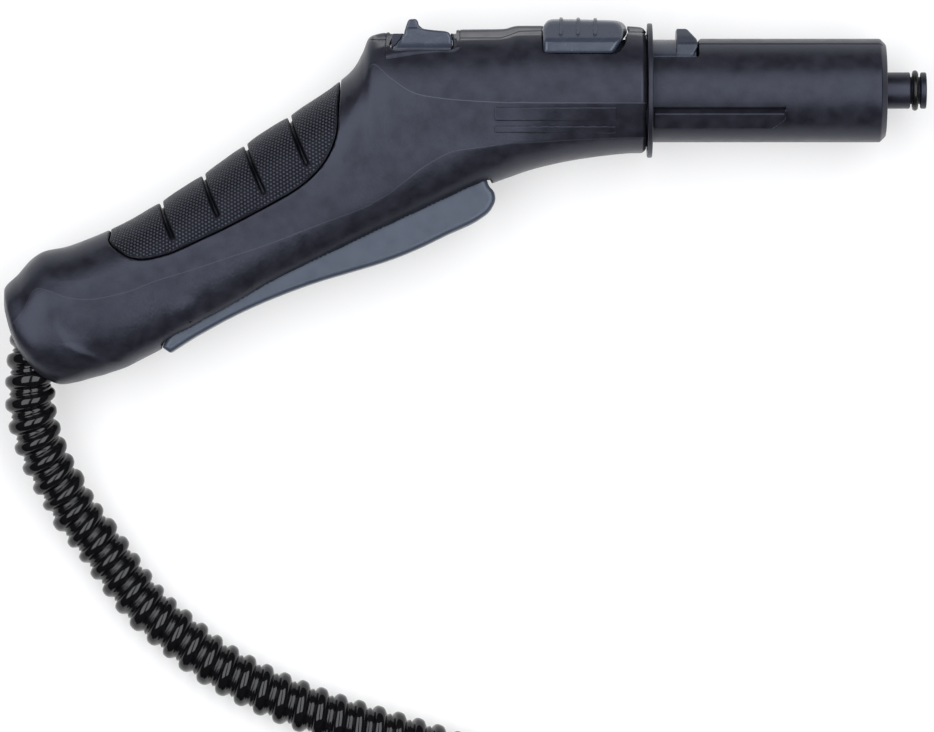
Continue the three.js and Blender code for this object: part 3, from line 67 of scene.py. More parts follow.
# Steam hose
# A glossy black blown plastic hose with one right-handed helical rib, pushed over a socket in the butt.
# It falls to the table, lies in one open bend, and the rest of it is wound into a flat coil.
hose_diameter = 17.4
hose_root = 13.2
hose_groove = 13.9
hose_bore = 8.0
rib_pitch = 7.0
rib_sides = 26
socket_mouth = (-2.0 - 0.9429 * 218.6, 22.27 - 0.7800 * 122.3, 0.0)
exit_tilt = 8
joint_gap = 0.3
straight_shares = (0, 0.5, 1, 1.15)
free_route = [
    (-147.7, -60.2, 22.7), (-148.0, -65.7, 21.9), (-147.5, -72.6, 20.5), (-146.1, -79.1, 18.8),
    (-143.9, -85.7, 17.0), (-141.1, -92.0, 15.1), (-137.3, -98.5, 13.3), (-132.9, -106.7, 11.5),
    (-126.3, -115.0, 10.0), (-120.5, -123.3, 9.1), (-114.6, -131.5, 8.7), (-107.7, -139.8, 8.7),
    (-98.1, -148.0, 8.7), (-87.8, -156.3, 8.7), (-73.7, -164.6, 8.7), (-58.5, -171.6, 8.7),
    (-43.1, -177.2, 8.7), (-26.0, -182.4, 8.7),
]
tail_route = [
    (-106.6, -390.7, 26.0), (-124.0, -376.3, 23.2), (-137.8, -358.3, 18.6), (-147.2, -337.7, 14.4),
]
tail_end = np.array([-153.4, -295.5, 12.3])
coil_centre = (-10.0, -308.0)
coil_radius, coil_spacing, coil_turns = 113.3, 18.1, 2.5
coil_start, coil_points = 70, 48
plug_heading = 95
bore_depth = 8.0
patch_size = 5.0


def heading(degrees):
    angle = math.radians(degrees)
    return np.array([math.cos(angle), math.sin(angle), 0.0])


def coil_point(turns):
    """A point of the coil, which winds inward to half its turns, climbs and winds out again."""
    radius = coil_radius - coil_spacing * min(turns, coil_turns - turns)
    climb = min(max((turns - coil_turns / 2) * 2 + 0.5, 0), 1)
    rise = climb * climb * (3 - 2 * climb)
    flat = radius * heading(coil_start - 360 * turns)
    return flat + [*coil_centre, hose_diameter / 2 + coil_spacing * rise]


def straight_from(end, direction):
    """Points straight on from an end of the route, so that the hose leaves it straight."""
    return [end + direction * share * hose_diameter for share in straight_shares]


def smooth_line(points, spacing):
    """Even points, a spacing apart, along the centripetal spline through the given points."""
    points = np.array(points, float)
    points = points[np.r_[True, np.linalg.norm(np.diff(points, axis=0), axis=1) > 0.5]]
    ends = np.vstack([2 * points[0] - points[1], points, 2 * points[-1] - points[-2]])
    root = np.sqrt(np.linalg.norm(np.diff(ends, axis=0), axis=1))[:, None]
    slopes = np.diff(ends, axis=0) / root
    chords = (ends[2:] - ends[:-2]) / (root[:-1] + root[1:])
    leaving = (slopes[:-1] - chords + slopes[1:])[:-1] * root[1:-1]
    arriving = (slopes[:-1] - chords + slopes[1:])[1:] * root[1:-1]
    line = []
    for t in np.arange(16) / 16:
        line.append(points[:-1] * (2 * t**3 - 3 * t**2 + 1) + leaving * (t**3 - 2 * t**2 + t)
                    + points[1:] * (3 * t**2 - 2 * t**3) + arriving * (t**3 - t**2))
    line = np.vstack([np.stack(line, 1).reshape(-1, 3), points[-1:]])
    along = np.r_[0, np.cumsum(np.linalg.norm(np.diff(line, axis=0), axis=1))]
    places = np.linspace(0, along[-1], round(along[-1] / spacing) + 1)
    return np.stack([np.interp(places, along, line[:, i]) for i in range(3)], 1)


def mesh_piece(name, points, faces, material, smooth=True):
    """A mesh object from points in metres, shaded smooth."""
    mesh = bpy.data.meshes.new(name)
    mesh.from_pydata(np.asarray(points, float).tolist(), [], [list(map(int, f)) for f in faces])
    mesh.polygons.foreach_set("use_smooth", [smooth] * len(mesh.polygons))
    mesh.materials.append(material)
    mesh.update()
    piece = bpy.data.objects.new(name, mesh)
    scene.collection.objects.link(piece)
    return piece


def new_material(name):
    """A new material, its node tree and its shader."""
    material = bpy.data.materials.new(name)
    material.use_nodes = True
    return material, material.node_tree, material.node_tree.nodes["Principled BSDF"]


def new_group(name, inputs, outputs):
    """A shader node group with named number inputs and colour or number outputs."""
    group = bpy.data.node_groups.new(name, "ShaderNodeTree")
    for label, value in inputs:
        socket = group.interface.new_socket(label, in_out="INPUT", socket_type="NodeSocketFloat")
        socket.default_value = value
    for label, kind in outputs:
        group.interface.new_socket(label, in_out="OUTPUT", socket_type=kind)
    return group, group.nodes.new("NodeGroupInput"), group.nodes.new("NodeGroupOutput")


def feed(tree, node, inputs):
    """Give a node's inputs their values, or links where the value is another node's socket."""
    for key, value in inputs.items():
        if isinstance(value, bpy.types.NodeSocket):
            tree.links.new(value, node.inputs[key])
        else:
            node.inputs[key].default_value = value


def put(tree, kind, inputs={}, **settings):
    """A new shader node with its settings and its inputs."""
    node = tree.nodes.new("ShaderNode" + kind)
    for key, value in settings.items():
        setattr(node, key, value)
    feed(tree, node, inputs)
    return node


def reckon(tree, operation, *values, **settings):
    """The result of a Math node on one or two values."""
    return put(tree, "Math", dict(enumerate(values)), operation=operation, **settings).outputs[0]


def shade_between(tree, share, one, other):
    """A colour that goes from one shade to another."""
    return put(tree, "Mix", {"Factor": share, "A": one, "B": other}, data_type="RGBA").outputs["Result"]


# Noise of the moulding: a fine height for the grain and a slow value for the shade and the gloss
grain_group, grain_in, grain_out = new_group(
    "moulded_grain", [("Grain Size", 0.4), ("Grain Depth", 0.5), ("Patch Size", 20)],
    [("Height", "NodeSocketFloat"), ("Patches", "NodeSocketFloat")])
place = put(grain_group, "TexCoord").outputs["Object"]
noises = []
for size, detail in (("Grain Size", 2.0), ("Patch Size", 3.0)):
    scale = reckon(grain_group, "DIVIDE", 1 / mm, grain_in.outputs[size])
    noise = put(grain_group, "TexNoise", {"Vector": place, "Scale": scale, "Detail": detail})
    noises.append(noise.outputs["Fac"])
height = reckon(grain_group, "MULTIPLY", noises[0], grain_in.outputs["Grain Depth"])
feed(grain_group, grain_out, {"Height": height, "Patches": noises[1]})


def moulded_plastic(name, colour, worn, roughness, spread, grain, depth, ior=1.5, tint=(1, 1, 1), metallic=0):
    """Moulded plastic: two near shades in slow patches, uneven gloss and a fine grain."""
    material, tree, shader = new_material(name)
    moulded = put(tree, "Group", {"Grain Size": grain, "Grain Depth": 1.0, "Patch Size": patch_size},
                  node_tree=grain_group)
    patches = moulded.outputs["Patches"]
    gloss = put(tree, "MapRange", {"From Min": 0.3, "From Max": 0.7, "To Min": roughness - spread,
                                   "To Max": roughness + spread, "Value": patches})
    bump = put(tree, "Bump", {"Strength": 0.5, "Distance": depth * mm, "Height": moulded.outputs["Height"]})
    feed(tree, shader, {
        "IOR": ior, "Specular Tint": (*tint, 1), "Metallic": metallic,
        "Base Color": shade_between(tree, patches, (*colour, 1), (*worn, 1)),
        "Roughness": gloss.outputs["Result"], "Normal": bump.outputs["Normal"]})
    return material


blown_black = moulded_plastic("blown_black_plastic", (0.003, 0.003, 0.004), (0.006, 0.006, 0.007),
                              0.08, 0.03, 2.2, 0.02, 1.42)


def gun_point(point):
    """A place on the table, in millimetres, from one given from the barrel's axis at the collar."""
    return gun_place / mm + np.array(point)


exit_direction = np.array([-math.sin(math.radians(exit_tilt)), -math.cos(math.radians(exit_tilt)), 0])
hose_start = gun_point(socket_mouth) + exit_direction * joint_gap
coil_loop = [coil_point(t) for t in np.linspace(0, coil_turns, round(coil_turns * coil_points) + 1)]
coil_in, coil_out = heading(coil_start - 90), heading(coil_start - 90 - 360 * coil_turns)
straight_run = straight_shares[-1] * hose_diameter
coil_first, coil_last = coil_loop[0] - coil_in * straight_run, coil_loop[-1] + coil_out * straight_run
hose_route = [
    *straight_from(hose_start, exit_direction), *np.array(free_route),
    *straight_from(coil_first, -coil_in)[:0:-1], coil_first, *straight_from(coil_first, coil_in)[1:],
    *coil_loop[1:-1], *straight_from(coil_last, -coil_out)[:0:-1], coil_last,
    *straight_from(coil_last, coil_out)[1:], *np.array(tail_route),
    *straight_from(tail_end, -heading(plug_heading))[::-1],
]
# The rib's section over one pitch: place along the pitch and radius, from the groove over the crest
rib_profile = [
    (0.00, hose_groove / 2), (0.07, hose_root / 2 + 0.55), (0.13, hose_root / 2 + 0.10), (0.19, 7.0),
    (0.24, 7.75), (0.30, 8.30), (0.38, 8.62), (0.50, 8.70), (0.62, 8.62), (0.72, 8.25), (0.80, 7.55),
    (0.88, 6.75), (0.94, hose_root / 2),
]


def helical_hose(name, line, profile, pitch, sides, bore, material):
    """A tube whose rows of points follow its helical rib, with a short bore at both ends."""
    along = np.r_[0, np.cumsum(np.linalg.norm(np.diff(line, axis=0), axis=1))]
    length = along[-1]
    tangent = np.gradient(line, along, axis=0)
    tangent /= np.linalg.norm(tangent, axis=1)[:, None]
    side = np.cross(tangent, [0, 0, 1.0])
    side /= np.linalg.norm(side, axis=1)[:, None]
    up = np.cross(side, tangent)
    count = round(length / pitch)
    turns, radii = np.array([(turn + share, radius) for turn in range(-1, count + 1)
                             for share, radius in profile]).T
    steps = np.arange(sides) / sides
    places = (turns[:, None] + steps[None, :]) * length / count
    radius = np.where((places < 0) | (places > length), profile[-1][1], radii[:, None])
    places = np.clip(places, 0, length)

    def ring(where, reach):
        middle, above, aside = (
            np.stack([np.interp(where, along, values[:, i]) for i in range(3)], -1)
            for values in (line, up, side))
        turned = 2 * math.pi * steps[None, :, None]
        return middle + reach[..., None] * (np.cos(turned) * above + np.sin(turned) * aside)

    index = np.arange(places.size).reshape(places.shape)
    per_turn = len(profile)
    after = np.hstack([index[:-per_turn, 1:], index[per_turn:, :1]])
    quads = np.stack([index[:-per_turn][:-1], after[:-1], after[1:], index[:-per_turn][1:]], -1)
    quads = [quads.reshape(-1, 4)]
    points = [ring(places, radius).reshape(-1, 3)]
    for end, depth, turn_over in ((0, bore_depth, 1), (length, length - bore_depth, -1)):
        rows = np.full((3, sides), [[end], [end], [depth]], float)
        reach = np.array([profile[-1][1], bore / 2, bore / 2])[:, None] * np.ones(sides)
        first = sum(len(p) for p in points)
        points.append(ring(rows, reach).reshape(-1, 3))
        index = first + np.arange(3 * sides).reshape(3, sides)
        here, there = index[:-1], index[1:]
        wall = np.stack([here, there, np.roll(there, -1, 1), np.roll(here, -1, 1)], -1)[..., ::turn_over]
        quads.append(wall.reshape(-1, 4))
    points, quads = np.vstack(points), np.vstack(quads)
    _, kept, where = np.unique(np.round(points, 4), axis=0, return_index=True, return_inverse=True)
    quads = where.reshape(-1)[quads]
    same = quads == np.roll(quads, -1, 1)
    whole = quads[same.sum(1) == 0]
    tapered = [[c for c, gone in zip(q, s) if not gone] for q, s in zip(quads, same) if s.sum() == 1]
    return mesh_piece(name, points[kept] * mm, [*whole.tolist(), *tapered], material)


hose_line = smooth_line(hose_route, 1.0)
hose = helical_hose("steam_hose", hose_line, rib_profile, rib_pitch, rib_sides, hose_bore, blown_black)
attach(hose, "gun")
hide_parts("hose_free", "hose_coil", "hose_tail")

# Table and light
# A plain white table under the gun, two soft lamps above it and a faint even light from all round.
# The table shows white to the camera and in reflections, and keeps the gun's shadow.
table_size = 24.0
table_shade, table_glow = 0.50, 0.46
lamp_distance, lamp_width, lamp_depth = 2.4, 1.5, 3.3
lamp_places = [(-25, 5, 57.0), (22, 5, 57.0)]
lamp_colour = (0.97, 0.98, 1.0)
world_strength = 0.03

white_table, tree, shader = new_material("white_table")
seen = put(tree, "LightPath").outputs
shown = seen["Is Camera Ray"]
for ray in ("Is Glossy Ray", "Is Transmission Ray"):
    shown = reckon(tree, "ADD", shown, seen[ray], use_clamp=True)
feed(tree, shader, {
    "Base Color": (table_shade, table_shade, table_shade, 1), "Roughness": 1.0, "Specular IOR Level": 0.0,
    "Emission Color": (1, 1, 1, 1), "Emission Strength": reckon(tree, "MULTIPLY", shown, table_glow)})
half = table_size / 2
corners = [(-half, -half, 0), (half, -half, 0), (half, half, 0), (-half, half, 0)]
mesh_piece("table", corners, [(0, 1, 2, 3)], white_table, smooth=False)

for number, (right, ahead, power) in enumerate(lamp_places):
    lamp_data = bpy.data.lights.new(f"soft_lamp_{number + 1}", "AREA")
    lamp_data.shape = "RECTANGLE"
    lamp_data.size, lamp_data.size_y = lamp_width, lamp_depth
    lamp_data.energy = power
    lamp_data.color = lamp_colour
    lamp = bpy.data.objects.new(f"soft_lamp_{number + 1}", lamp_data)
    direction = Vector((math.tan(math.radians(right)), math.tan(math.radians(ahead)), 1)).normalized()
    lamp.location = direction * lamp_distance
    across = Vector((0, 1, 0)).cross(direction).normalized()
    lamp.rotation_euler = Matrix((across, direction.cross(across), direction)).transposed().to_euler()
    lamp.visible_camera = False
    scene.collection.objects.link(lamp)

world = bpy.data.worlds.new("room")
world.use_nodes = True
world.node_tree.nodes["Background"].inputs["Color"].default_value = (1, 1, 1, 1)
world.node_tree.nodes["Background"].inputs["Strength"].default_value = world_strength
scene.world = world
scene.view_settings.view_transform = "Standard"

# Housing
# Two charcoal moulded shells of about 2.5 mm wall, parted down the middle and held by five screws.
# Their side has a flatter panel between two soft creases; pockets take the pad, the selector and button.
housing_length, housing_depth = 218.6, 122.3
housing_face, housing_top = -2.0, 22.27
housing_width, grip_width, butt_width = 42.5, 37.0, 40.0
wall = 2.5
seam = 0.15
edge_round = 0.4
butt_round = 1.2
front_chamfer = 1.3
scoop_line = [(-92, -186), (-88.9, -193.1), (-86, -198.5), (-80.3, -201.7), (-69, -202.6), (-60, -203.5)]
scoop_depth, scoop_slope, scoop_fade, scoop_edge, scoop_run = 1.9, 6.0, 16.0, 1.6, 13
crown_line = [(-96, 16.8), (-89, 16.8), (-65, 17.2), (-51.5, 17.2), (-48.5, 18.2), (-45, 19.6), (-38, 19.8),
              (-2, 19.3)]
quick_scale = 1.0
# Each row is one section from the front face to the butt: its top and bottom points in the side view as
# shares of the housing's length and depth, the heights of the two creases, the shares of body's, grip's
# and butt's width, and how square the upper and lower half are.
section_rows = np.array([
    (0, 0.0083, 0, 0.3560, 0.616, 0.888, 1, 0, 0, 2, 2),
    (0.0296, 0.0028, 0.0264, 0.3568, 0.620, 0.887, 1, 0, 0, 2, 2),
    (0.1120, 0.0019, 0.1073, 0.3740, 0.592, 0.862, 1, 0, 0, 2.1, 2.1),
    (0.1976, 0.0019, 0.1773, 0.4018, 0.548, 0.822, 1, 0, 0, 2.2, 2.2),
    (0.2240, 0.0111, 0.2100, 0.4213, 0.513, 0.786, 1, 0, 0, 2.2, 2.3),
    (0.2831, 0.0125, 0.2474, 0.4463, 0.472, 0.765, 0.99, 0, 0, 2.3, 2.4),
    (0.3376, 0.0153, 0.2878, 0.4783, 0.420, 0.737, 0.98, 0, 0, 2.3, 2.5),
    (0.3765, 0.0175, 0.3267, 0.5103, 0.362, 0.758, 0.97, 0, 0, 2.3, 2.6),
    (0.4060, 0.0211, 0.3656, 0.5437, 0.255, 0.795, 0.80, 0.19, 0, 2.3, 2.6),
    (0.4294, 0.0334, 0.4014, 0.5742, 0.150, 0.826, 0.70, 0.29, 0, 2.3, 2.6),
    (0.4410, 0.0779, 0.4325, 0.6007, 0.180, 0.822, 0.55, 0.44, 0, 2.3, 2.6),
    (0.4543, 0.1196, 0.4620, 0.6257, 0.240, 0.804, 0.40, 0.60, 0, 2.3, 2.6),
    (0.4838, 0.1669, 0.5056, 0.6632, 0.330, 0.778, 0.20, 0.80, 0, 2.2, 2.6),
    (0.5429, 0.2378, 0.5787, 0.7272, 0.350, 0.742, 0.05, 0.95, 0, 2.2, 2.6),
    (0.6098, 0.3142, 0.6518, 0.8037, 0.360, 0.672, 0, 1, 0, 2.2, 2.6),
    (0.6798, 0.4032, 0.7141, 0.8607, 0.370, 0.607, 0, 1, 0, 2.2, 2.6),
    (0.7467, 0.4811, 0.7701, 0.9205, 0.350, 0.528, 0, 0.85, 0.15, 2.2, 2.5),
    (0.8074, 0.5464, 0.8167, 0.9636, 0.320, 0.483, 0, 0.50, 0.50, 2.2, 2.4),
    (0.8587, 0.5882, 0.8556, 0.9789, 0.300, 0.449, 0, 0.20, 0.80, 2.2, 2.4),
    (0.9039, 0.6174, 0.8852, 0.9928, 0.250, 0.377, 0, 0, 1, 2.2, 2.4),
    (0.9350, 0.6285, 0.9070, 0.9992, 0.200, 0.300, 0, 0, 1, 2.2, 2.4),
    (0.9552, 0.6507, 0.9225, 0.9964, 0.150, 0.250, 0, 0, 0.99, 2.2, 2.4),
    (0.9754, 0.6910, 0.9412, 0.9816, 0.200, 0.350, 0, 0, 0.96, 2.2, 2.4),
    (0.9977, 0.7358, 0.9672, 0.9288, 0.250, 0.500, 0, 0, 0.86, 2.2, 2.4),
    (0.9984, 0.7731, 0.9832, 0.8760, 0.300, 0.600, 0, 0, 0.62, 2.2, 2.4),
])
section_count, angle_count = 260, 361
pin_boss, pin_boss_rise, pin_boss_spread = (-158.4, -77.0), 0.8, 8.0
panel_places, panel_bulges = (-118, -104, -92, -80), (0.45, 0.9, 0.8, 0.15)
crown_share, crown_dip = 0.078, 0.55
# No crease is drawn within this of the seam; a mark this far away draws nothing
seam_band, far_away = 2, 9


def side_place(along, down):
    """A place in the side view from shares of the housing's length and depth."""
    return housing_face - along * housing_length, housing_top - down * housing_depth


def eased_columns(rows, count):
    """Columns of a table at even steps, without overshoot between its rows."""
    steps = np.arange(len(rows))
    slope = np.diff(rows, axis=0)
    tangent = np.zeros_like(rows)
    rising = slope[:-1] * slope[1:] > 0
    tangent[1:-1][rising] = (2 * slope[:-1] * slope[1:] / np.where(rising, slope[:-1] + slope[1:], 1))[rising]
    tangent[0], tangent[-1] = slope[0], slope[-1]
    where = np.linspace(0, len(rows) - 1, count)
    low = np.minimum(where.astype(int), len(rows) - 2)
    t = (where - low)[:, None]
    return (rows[low] * (2 * t**3 - 3 * t**2 + 1) + tangent[low] * (t**3 - 2 * t**2 + t)
            + rows[low + 1] * (3 * t**2 - 2 * t**3) + tangent[low + 1] * (t**3 - t**2))


sections = eased_columns(section_rows, section_count)
top_line = np.stack(side_place(sections[:, 0], sections[:, 1]), 1)
bottom_line = np.stack(side_place(sections[:, 2], sections[:, 3]), 1)
down_line = bottom_line - top_line
section_height = np.linalg.norm(down_line, axis=1)
half_widths = sections[:, 6:9] @ [housing_width, grip_width, butt_width] / 2
section_angles = np.linspace(0, math.pi, angle_count)
reach_table = np.zeros((section_count, angle_count))
for row in range(section_count):
    upper, lower, square_above, square_below = sections[row, [4, 5, 9, 10]]
    height = (1 - np.cos(np.linspace(0, math.pi, 400))) / 2
    across = np.abs(2 * height - 1)
    power = np.where(height < 0.5, square_above, square_below)
    width = half_widths[row] * (1 - across**power) ** (1 / power)
    at_upper, at_lower = np.interp([upper, lower], height, width)
    panel = (height > upper) & (height < lower)
    chord = np.interp(height, [upper, lower], [at_upper, at_lower])
    bulge = (width - chord)[panel]
    width[panel] = chord[panel] + bulge * np.interp(top_line[row, 0], panel_places, panel_bulges)
    level = (0.5 - height) * section_height[row]
    if top_line[row, 0] > side_place(0.42, 0)[0]:
        crown = height < crown_share
        at_crown = np.interp(crown_share, height, width)
        flat = height[crown] / crown_share * at_crown
        width[crown] = np.maximum(flat, width[crown] * (1 - crown_dip))
    turned = np.arctan2(width, level)
    reach_table[row] = np.interp(section_angles, turned, np.hypot(width, level))
# Smoothed over five neighbours, first round each section and then along the housing
for edges in ("reflect", "edge"):
    padded = np.pad(reach_table, ((0, 0), (2, 2)), mode=edges)
    count = reach_table.shape[1]
    reach_table = sum(padded[:, i:i + count] * weight / 8 for i, weight in enumerate((1, 2, 2, 2, 1))).T


def both(one, other, radius):
    """What lies in both of two shapes, each given as a distance, with the edge between them rounded."""
    blend = np.maximum(radius - np.abs(one - other), 0)
    return np.maximum(one, other) + blend * blend / (4 * radius)


def join(one, other, radius):
    """Two shapes as one, with the corner between them rounded."""
    return -both(-one, -other, radius)


def cut(body, tool, radius):
    """A shape less what a tool takes out of it, with a rounded edge."""
    return both(body, -tool, radius)


def section_at(x, y):
    """Which section a place in the side view lies in, how far above its middle, and its height."""
    x, y = np.broadcast_arrays(x, y)
    low, high = np.zeros(x.shape), np.full(x.shape, section_count - 1.0)
    rows = np.arange(section_count)
    for _ in range(14):
        middle = (low + high) / 2
        top_x, top_y, down_x, down_y = (
            np.interp(middle, rows, column) for column in (*top_line.T, *down_line.T))
        behind = down_x * (y - top_y) - down_y * (x - top_x) < 0
        low, high = np.where(behind, middle, low), np.where(behind, high, middle)
    length = np.hypot(down_x, down_y)
    level = -((x - top_x - down_x / 2) * down_x + (y - top_y - down_y / 2) * down_y) / length
    return middle, level, length


def skin_sides(x, y, z):
    """Distance from the housing's skin all round and at the butt, below zero inside."""
    middle, level, length = section_at(x, y)
    under = (0.5 - level / length - np.interp(middle, np.arange(section_count), sections[:, 5])) * length
    x, level, middle, under, z = np.broadcast_arrays(x, level, middle, under, z)
    turned = np.arctan2(np.abs(z), level) / math.pi * (angle_count - 1)
    near, first = np.minimum(middle.astype(int), section_count - 2), turned.astype(int)
    first = np.minimum(first, angle_count - 2)
    across, along = turned - first, middle - near
    here, there = (reach_table[row, first] * (1 - across) + reach_table[row, first + 1] * across
                   for row in (near, near + 1))
    distance = np.hypot(level, z) - (here * (1 - along) + there * along)
    (end_x, end_y), (down_x, down_y) = top_line[-1], down_line[-1]
    beyond = (down_x * (y - end_y) - down_y * (x - end_x)) / math.hypot(down_x, down_y)
    distance = cut(distance, beyond, butt_round)
    boss = np.clip(1 - ((x - pin_boss[0]) ** 2 + (y - pin_boss[1]) ** 2) / pin_boss_spread**2, 0, 1) ** 2
    distance = distance - pin_boss_rise * boss
    after = x - np.interp(y, *np.array(scoop_line).T)
    after = (after + np.hypot(after, scoop_edge)) / 2
    below = np.clip(under / scoop_run, 0, 1)
    return distance + (scoop_depth * (1 - np.exp(-after / scoop_slope)) * np.exp(-after / scoop_fade)
                       * below * below * (3 - 2 * below))


def crease_marks(x, y, z):
    """Distances below the upper and lower crease and above the edge of the crown, for the painted highlights
    along the creases and the painted shade along the crown's edge.
    """
    middle, level, length = section_at(x, y)
    rows = np.arange(section_count)
    share = 0.5 - level / length
    marks = {name: (share - np.interp(middle, rows, sections[:, column])) * length
             for name, column in (("upper_crease", 4), ("lower_crease", 5))}
    marks["upper_crease"] = np.where(x > crown_line[0][0], marks["upper_crease"], far_away)
    marks["crown_edge"] = y - np.interp(x, *np.array(crown_line).T, left=99)
    return {name: np.where(np.abs(z) > seam_band, mark, far_away) for name, mark in marks.items()}


def flat_distance(x, y, outline):
    """Distance from a closed outline in a flat view, below zero inside."""
    x, y = np.broadcast_arrays(x, y)
    best = np.full(x.shape, 1e9)
    within = np.zeros(x.shape, bool)
    for (ax, ay), (bx, by) in zip(outline, [*outline[1:], outline[0]]):
        run, rise = bx - ax, by - ay
        t = np.clip(((x - ax) * run + (y - ay) * rise) / (run * run + rise * rise + 1e-12), 0, 1)
        best = np.minimum(best, (x - ax - t * run) ** 2 + (y - ay - t * rise) ** 2)
        if rise:
            within ^= ((ay > y) != (by > y)) & (x < run * (y - ay) / rise + ax)
    return np.where(within, -1, 1) * np.sqrt(best)


def plate(flat, z, low, high, radius):
    """An outline's distance made a plate between two heights, with rounded edges."""
    return both(flat, np.abs(z - (low + high) / 2) - (high - low) / 2, radius)


def block(x, y, z, low, high, radius):
    """A square block between two corners, as a distance, with rounded edges."""
    sides = [np.abs(v - (a + b) / 2) - (b - a) / 2 for v, a, b in zip((x, y, z), low, high)]
    return both(both(sides[0], sides[1], radius), sides[2], radius)


def rod(x, y, z, start, end, radius, edge):
    """A round rod between two points, as a distance."""
    start, end = np.array(start, float), np.array(end, float)
    length = np.linalg.norm(end - start)
    way = (end - start) / length
    dx, dy, dz = x - start[0], y - start[1], z - start[2]
    along = dx * way[0] + dy * way[1] + dz * way[2]
    out = np.sqrt(np.maximum(dx * dx + dy * dy + dz * dz - along * along, 0)) - radius
    return both(out, np.abs(along - length / 2) - length / 2, edge)


def placed_piece(name, points, faces, material, body, slot, nodes, origin=gun_place / mm, turn=0):
    """A mesh object from points in millimetres about an origin, turned on the table and hung on its body,
    with the CAD nodes it stands for hidden; its slot is not used.
    """
    angle = math.radians(turn)
    turned = np.array([[math.cos(angle), math.sin(angle), 0], [-math.sin(angle), math.cos(angle), 0],
                       [0, 0, 1]])
    piece = mesh_piece(name, (points @ turned + origin) * mm, faces, material)
    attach(piece, body)
    if nodes:
        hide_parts(*nodes)
    return piece, turned


def moulded_piece(name, field, low, high, cell, material, body, slot, nodes, marks=None, **place):
    """A closed mesh on the surface where the field is zero, with its marks as values on the points."""
    cell *= quick_scale
    counts = [int((b - a) / cell) + 2 for a, b in zip(low, high)]
    # The grid is shifted by a part of a cell, so that flat faces don't fall on its planes
    axes = [a + cell * (np.arange(n) - 0.37) for a, n in zip(low, counts)]
    values = field(axes[0][:, None, None], axes[1][None, :, None], axes[2][None, None, :])
    values = np.broadcast_to(values, counts)
    inside = values < 0
    total = int(np.prod(counts))
    sums, hits, quads = np.zeros((3, total)), np.zeros(total), []
    for axis in range(3):
        b, c = [other for other in range(3) if other != axis]
        low_side = inside.take(range(counts[axis] - 1), axis)
        high_side = inside.take(range(1, counts[axis]), axis)
        at = np.stack(np.nonzero(low_side != high_side))
        sound = (at[b] > 0) & (at[c] > 0)
        at = at[:, sound]
        ahead = at.copy()
        ahead[axis] += 1
        first, second = values[tuple(at)], values[tuple(ahead)]
        crossing = at.astype(float)
        crossing[axis] += first / (first - second)
        corners = []
        for back_b, back_c in ((0, 0), (1, 0), (1, 1), (0, 1)):
            cell_at = at.copy()
            cell_at[b] -= back_b
            cell_at[c] -= back_c
            flat = np.ravel_multi_index(tuple(cell_at), counts)
            corners.append(flat)
            hits += np.bincount(flat, minlength=total)
            for i in range(3):
                sums[i] += np.bincount(flat, crossing[i], minlength=total)
        quad = np.stack(corners, 1)
        over = (first > 0) ^ (axis == 1)
        quad[over] = quad[over][:, ::-1]
        quads.append(quad)
    used = np.nonzero(hits)[0]
    points = (sums[:, used] / hits[used]).T
    points = np.stack([axes[i][0] + cell * points[:, i] for i in range(3)], 1)
    number = np.zeros(total, int)
    number[used] = np.arange(len(used))
    # Each point is pulled onto the surface along the field's slope, which is also its normal
    small = cell * 0.3
    for _ in range(3):
        value = field(*points.T)
        slope = np.stack([field(*(points + small * row).T) - value for row in np.eye(3)], 1) / small
        reach = np.maximum(np.linalg.norm(slope, axis=1)[:, None], 0.5)
        points = points - slope / reach * np.clip(value[:, None] / reach, -0.5 * cell, 0.5 * cell)
    quads = number[np.vstack(quads)]
    piece, turned = placed_piece(name, points, quads, material, body, slot, nodes, **place)
    piece.data.normals_split_custom_set_from_vertices((slope / reach @ turned).tolist())
    for label, values in (marks(*points.T) if marks else {}).items():
        layer = piece.data.attributes.new(label, "FLOAT", "POINT")
        layer.data.foreach_set("value", values)
    return piece


def turned_piece(name, profile, start, way, sides, material, body, slot, nodes, **place):
    """A piece turned about an axis from a closed outline of (place along it, radius)."""
    way = np.array(way, float)
    aside = np.cross(way, [0, 0, 1.0] if abs(way[2]) < 0.9 else [1.0, 0, 0])
    aside /= np.linalg.norm(aside)
    angles = 2 * math.pi * np.arange(sides) / sides
    round_about = np.cos(angles)[:, None] * aside + np.sin(angles)[:, None] * np.cross(way, aside)
    profile = np.array(profile)
    points = (np.array(start, float) + profile[:, None, :1] * way
              + profile[:, None, 1:] * round_about[None]).reshape(-1, 3)
    index = np.arange(len(profile) * sides).reshape(len(profile), sides)
    after = np.roll(index, -1, 0)
    quads = np.stack([index, np.roll(index, -1, 1), np.roll(after, -1, 1), after], -1).reshape(-1, 4)
    area = (np.roll(profile[:, 0], 1) * profile[:, 1] - profile[:, 0] * np.roll(profile[:, 1], 1)).sum()
    piece, _ = placed_piece(name, points, quads if area > 0 else quads[:, ::-1], material, body, slot,
                            nodes, **place)
    return piece


def rounded(outline, radius, steps=4):
    """An outline with each corner turned into a short arc."""
    points = np.array(outline, float)
    result = []
    for before, corner, after in zip(np.roll(points, 1, 0), points, np.roll(points, -1, 0)):
        back, ahead = before - corner, after - corner
        reach = min(radius, 0.45 * np.linalg.norm(back), 0.45 * np.linalg.norm(ahead))
        start = corner + back / np.linalg.norm(back) * reach
        end = corner + ahead / np.linalg.norm(ahead) * reach
        for t in np.linspace(0, 1, steps + 1):
            result.append(start * (1 - t) ** 2 + corner * 2 * t * (1 - t) + end * t**2)
    return np.array(result)


def side_outline(shares):
    """An outline in the side view from shares of the housing's length and depth."""
    return np.array([side_place(along, down) for along, down in shares])


def turned_outline(outline, pivot, degrees):
    """An outline turned about a pivot, as its joint turns it."""
    angle = math.radians(degrees)
    turn = np.array([[math.cos(angle), math.sin(angle)], [-math.sin(angle), math.cos(angle)]])
    return (np.asarray(outline) - pivot) @ turn + pivot


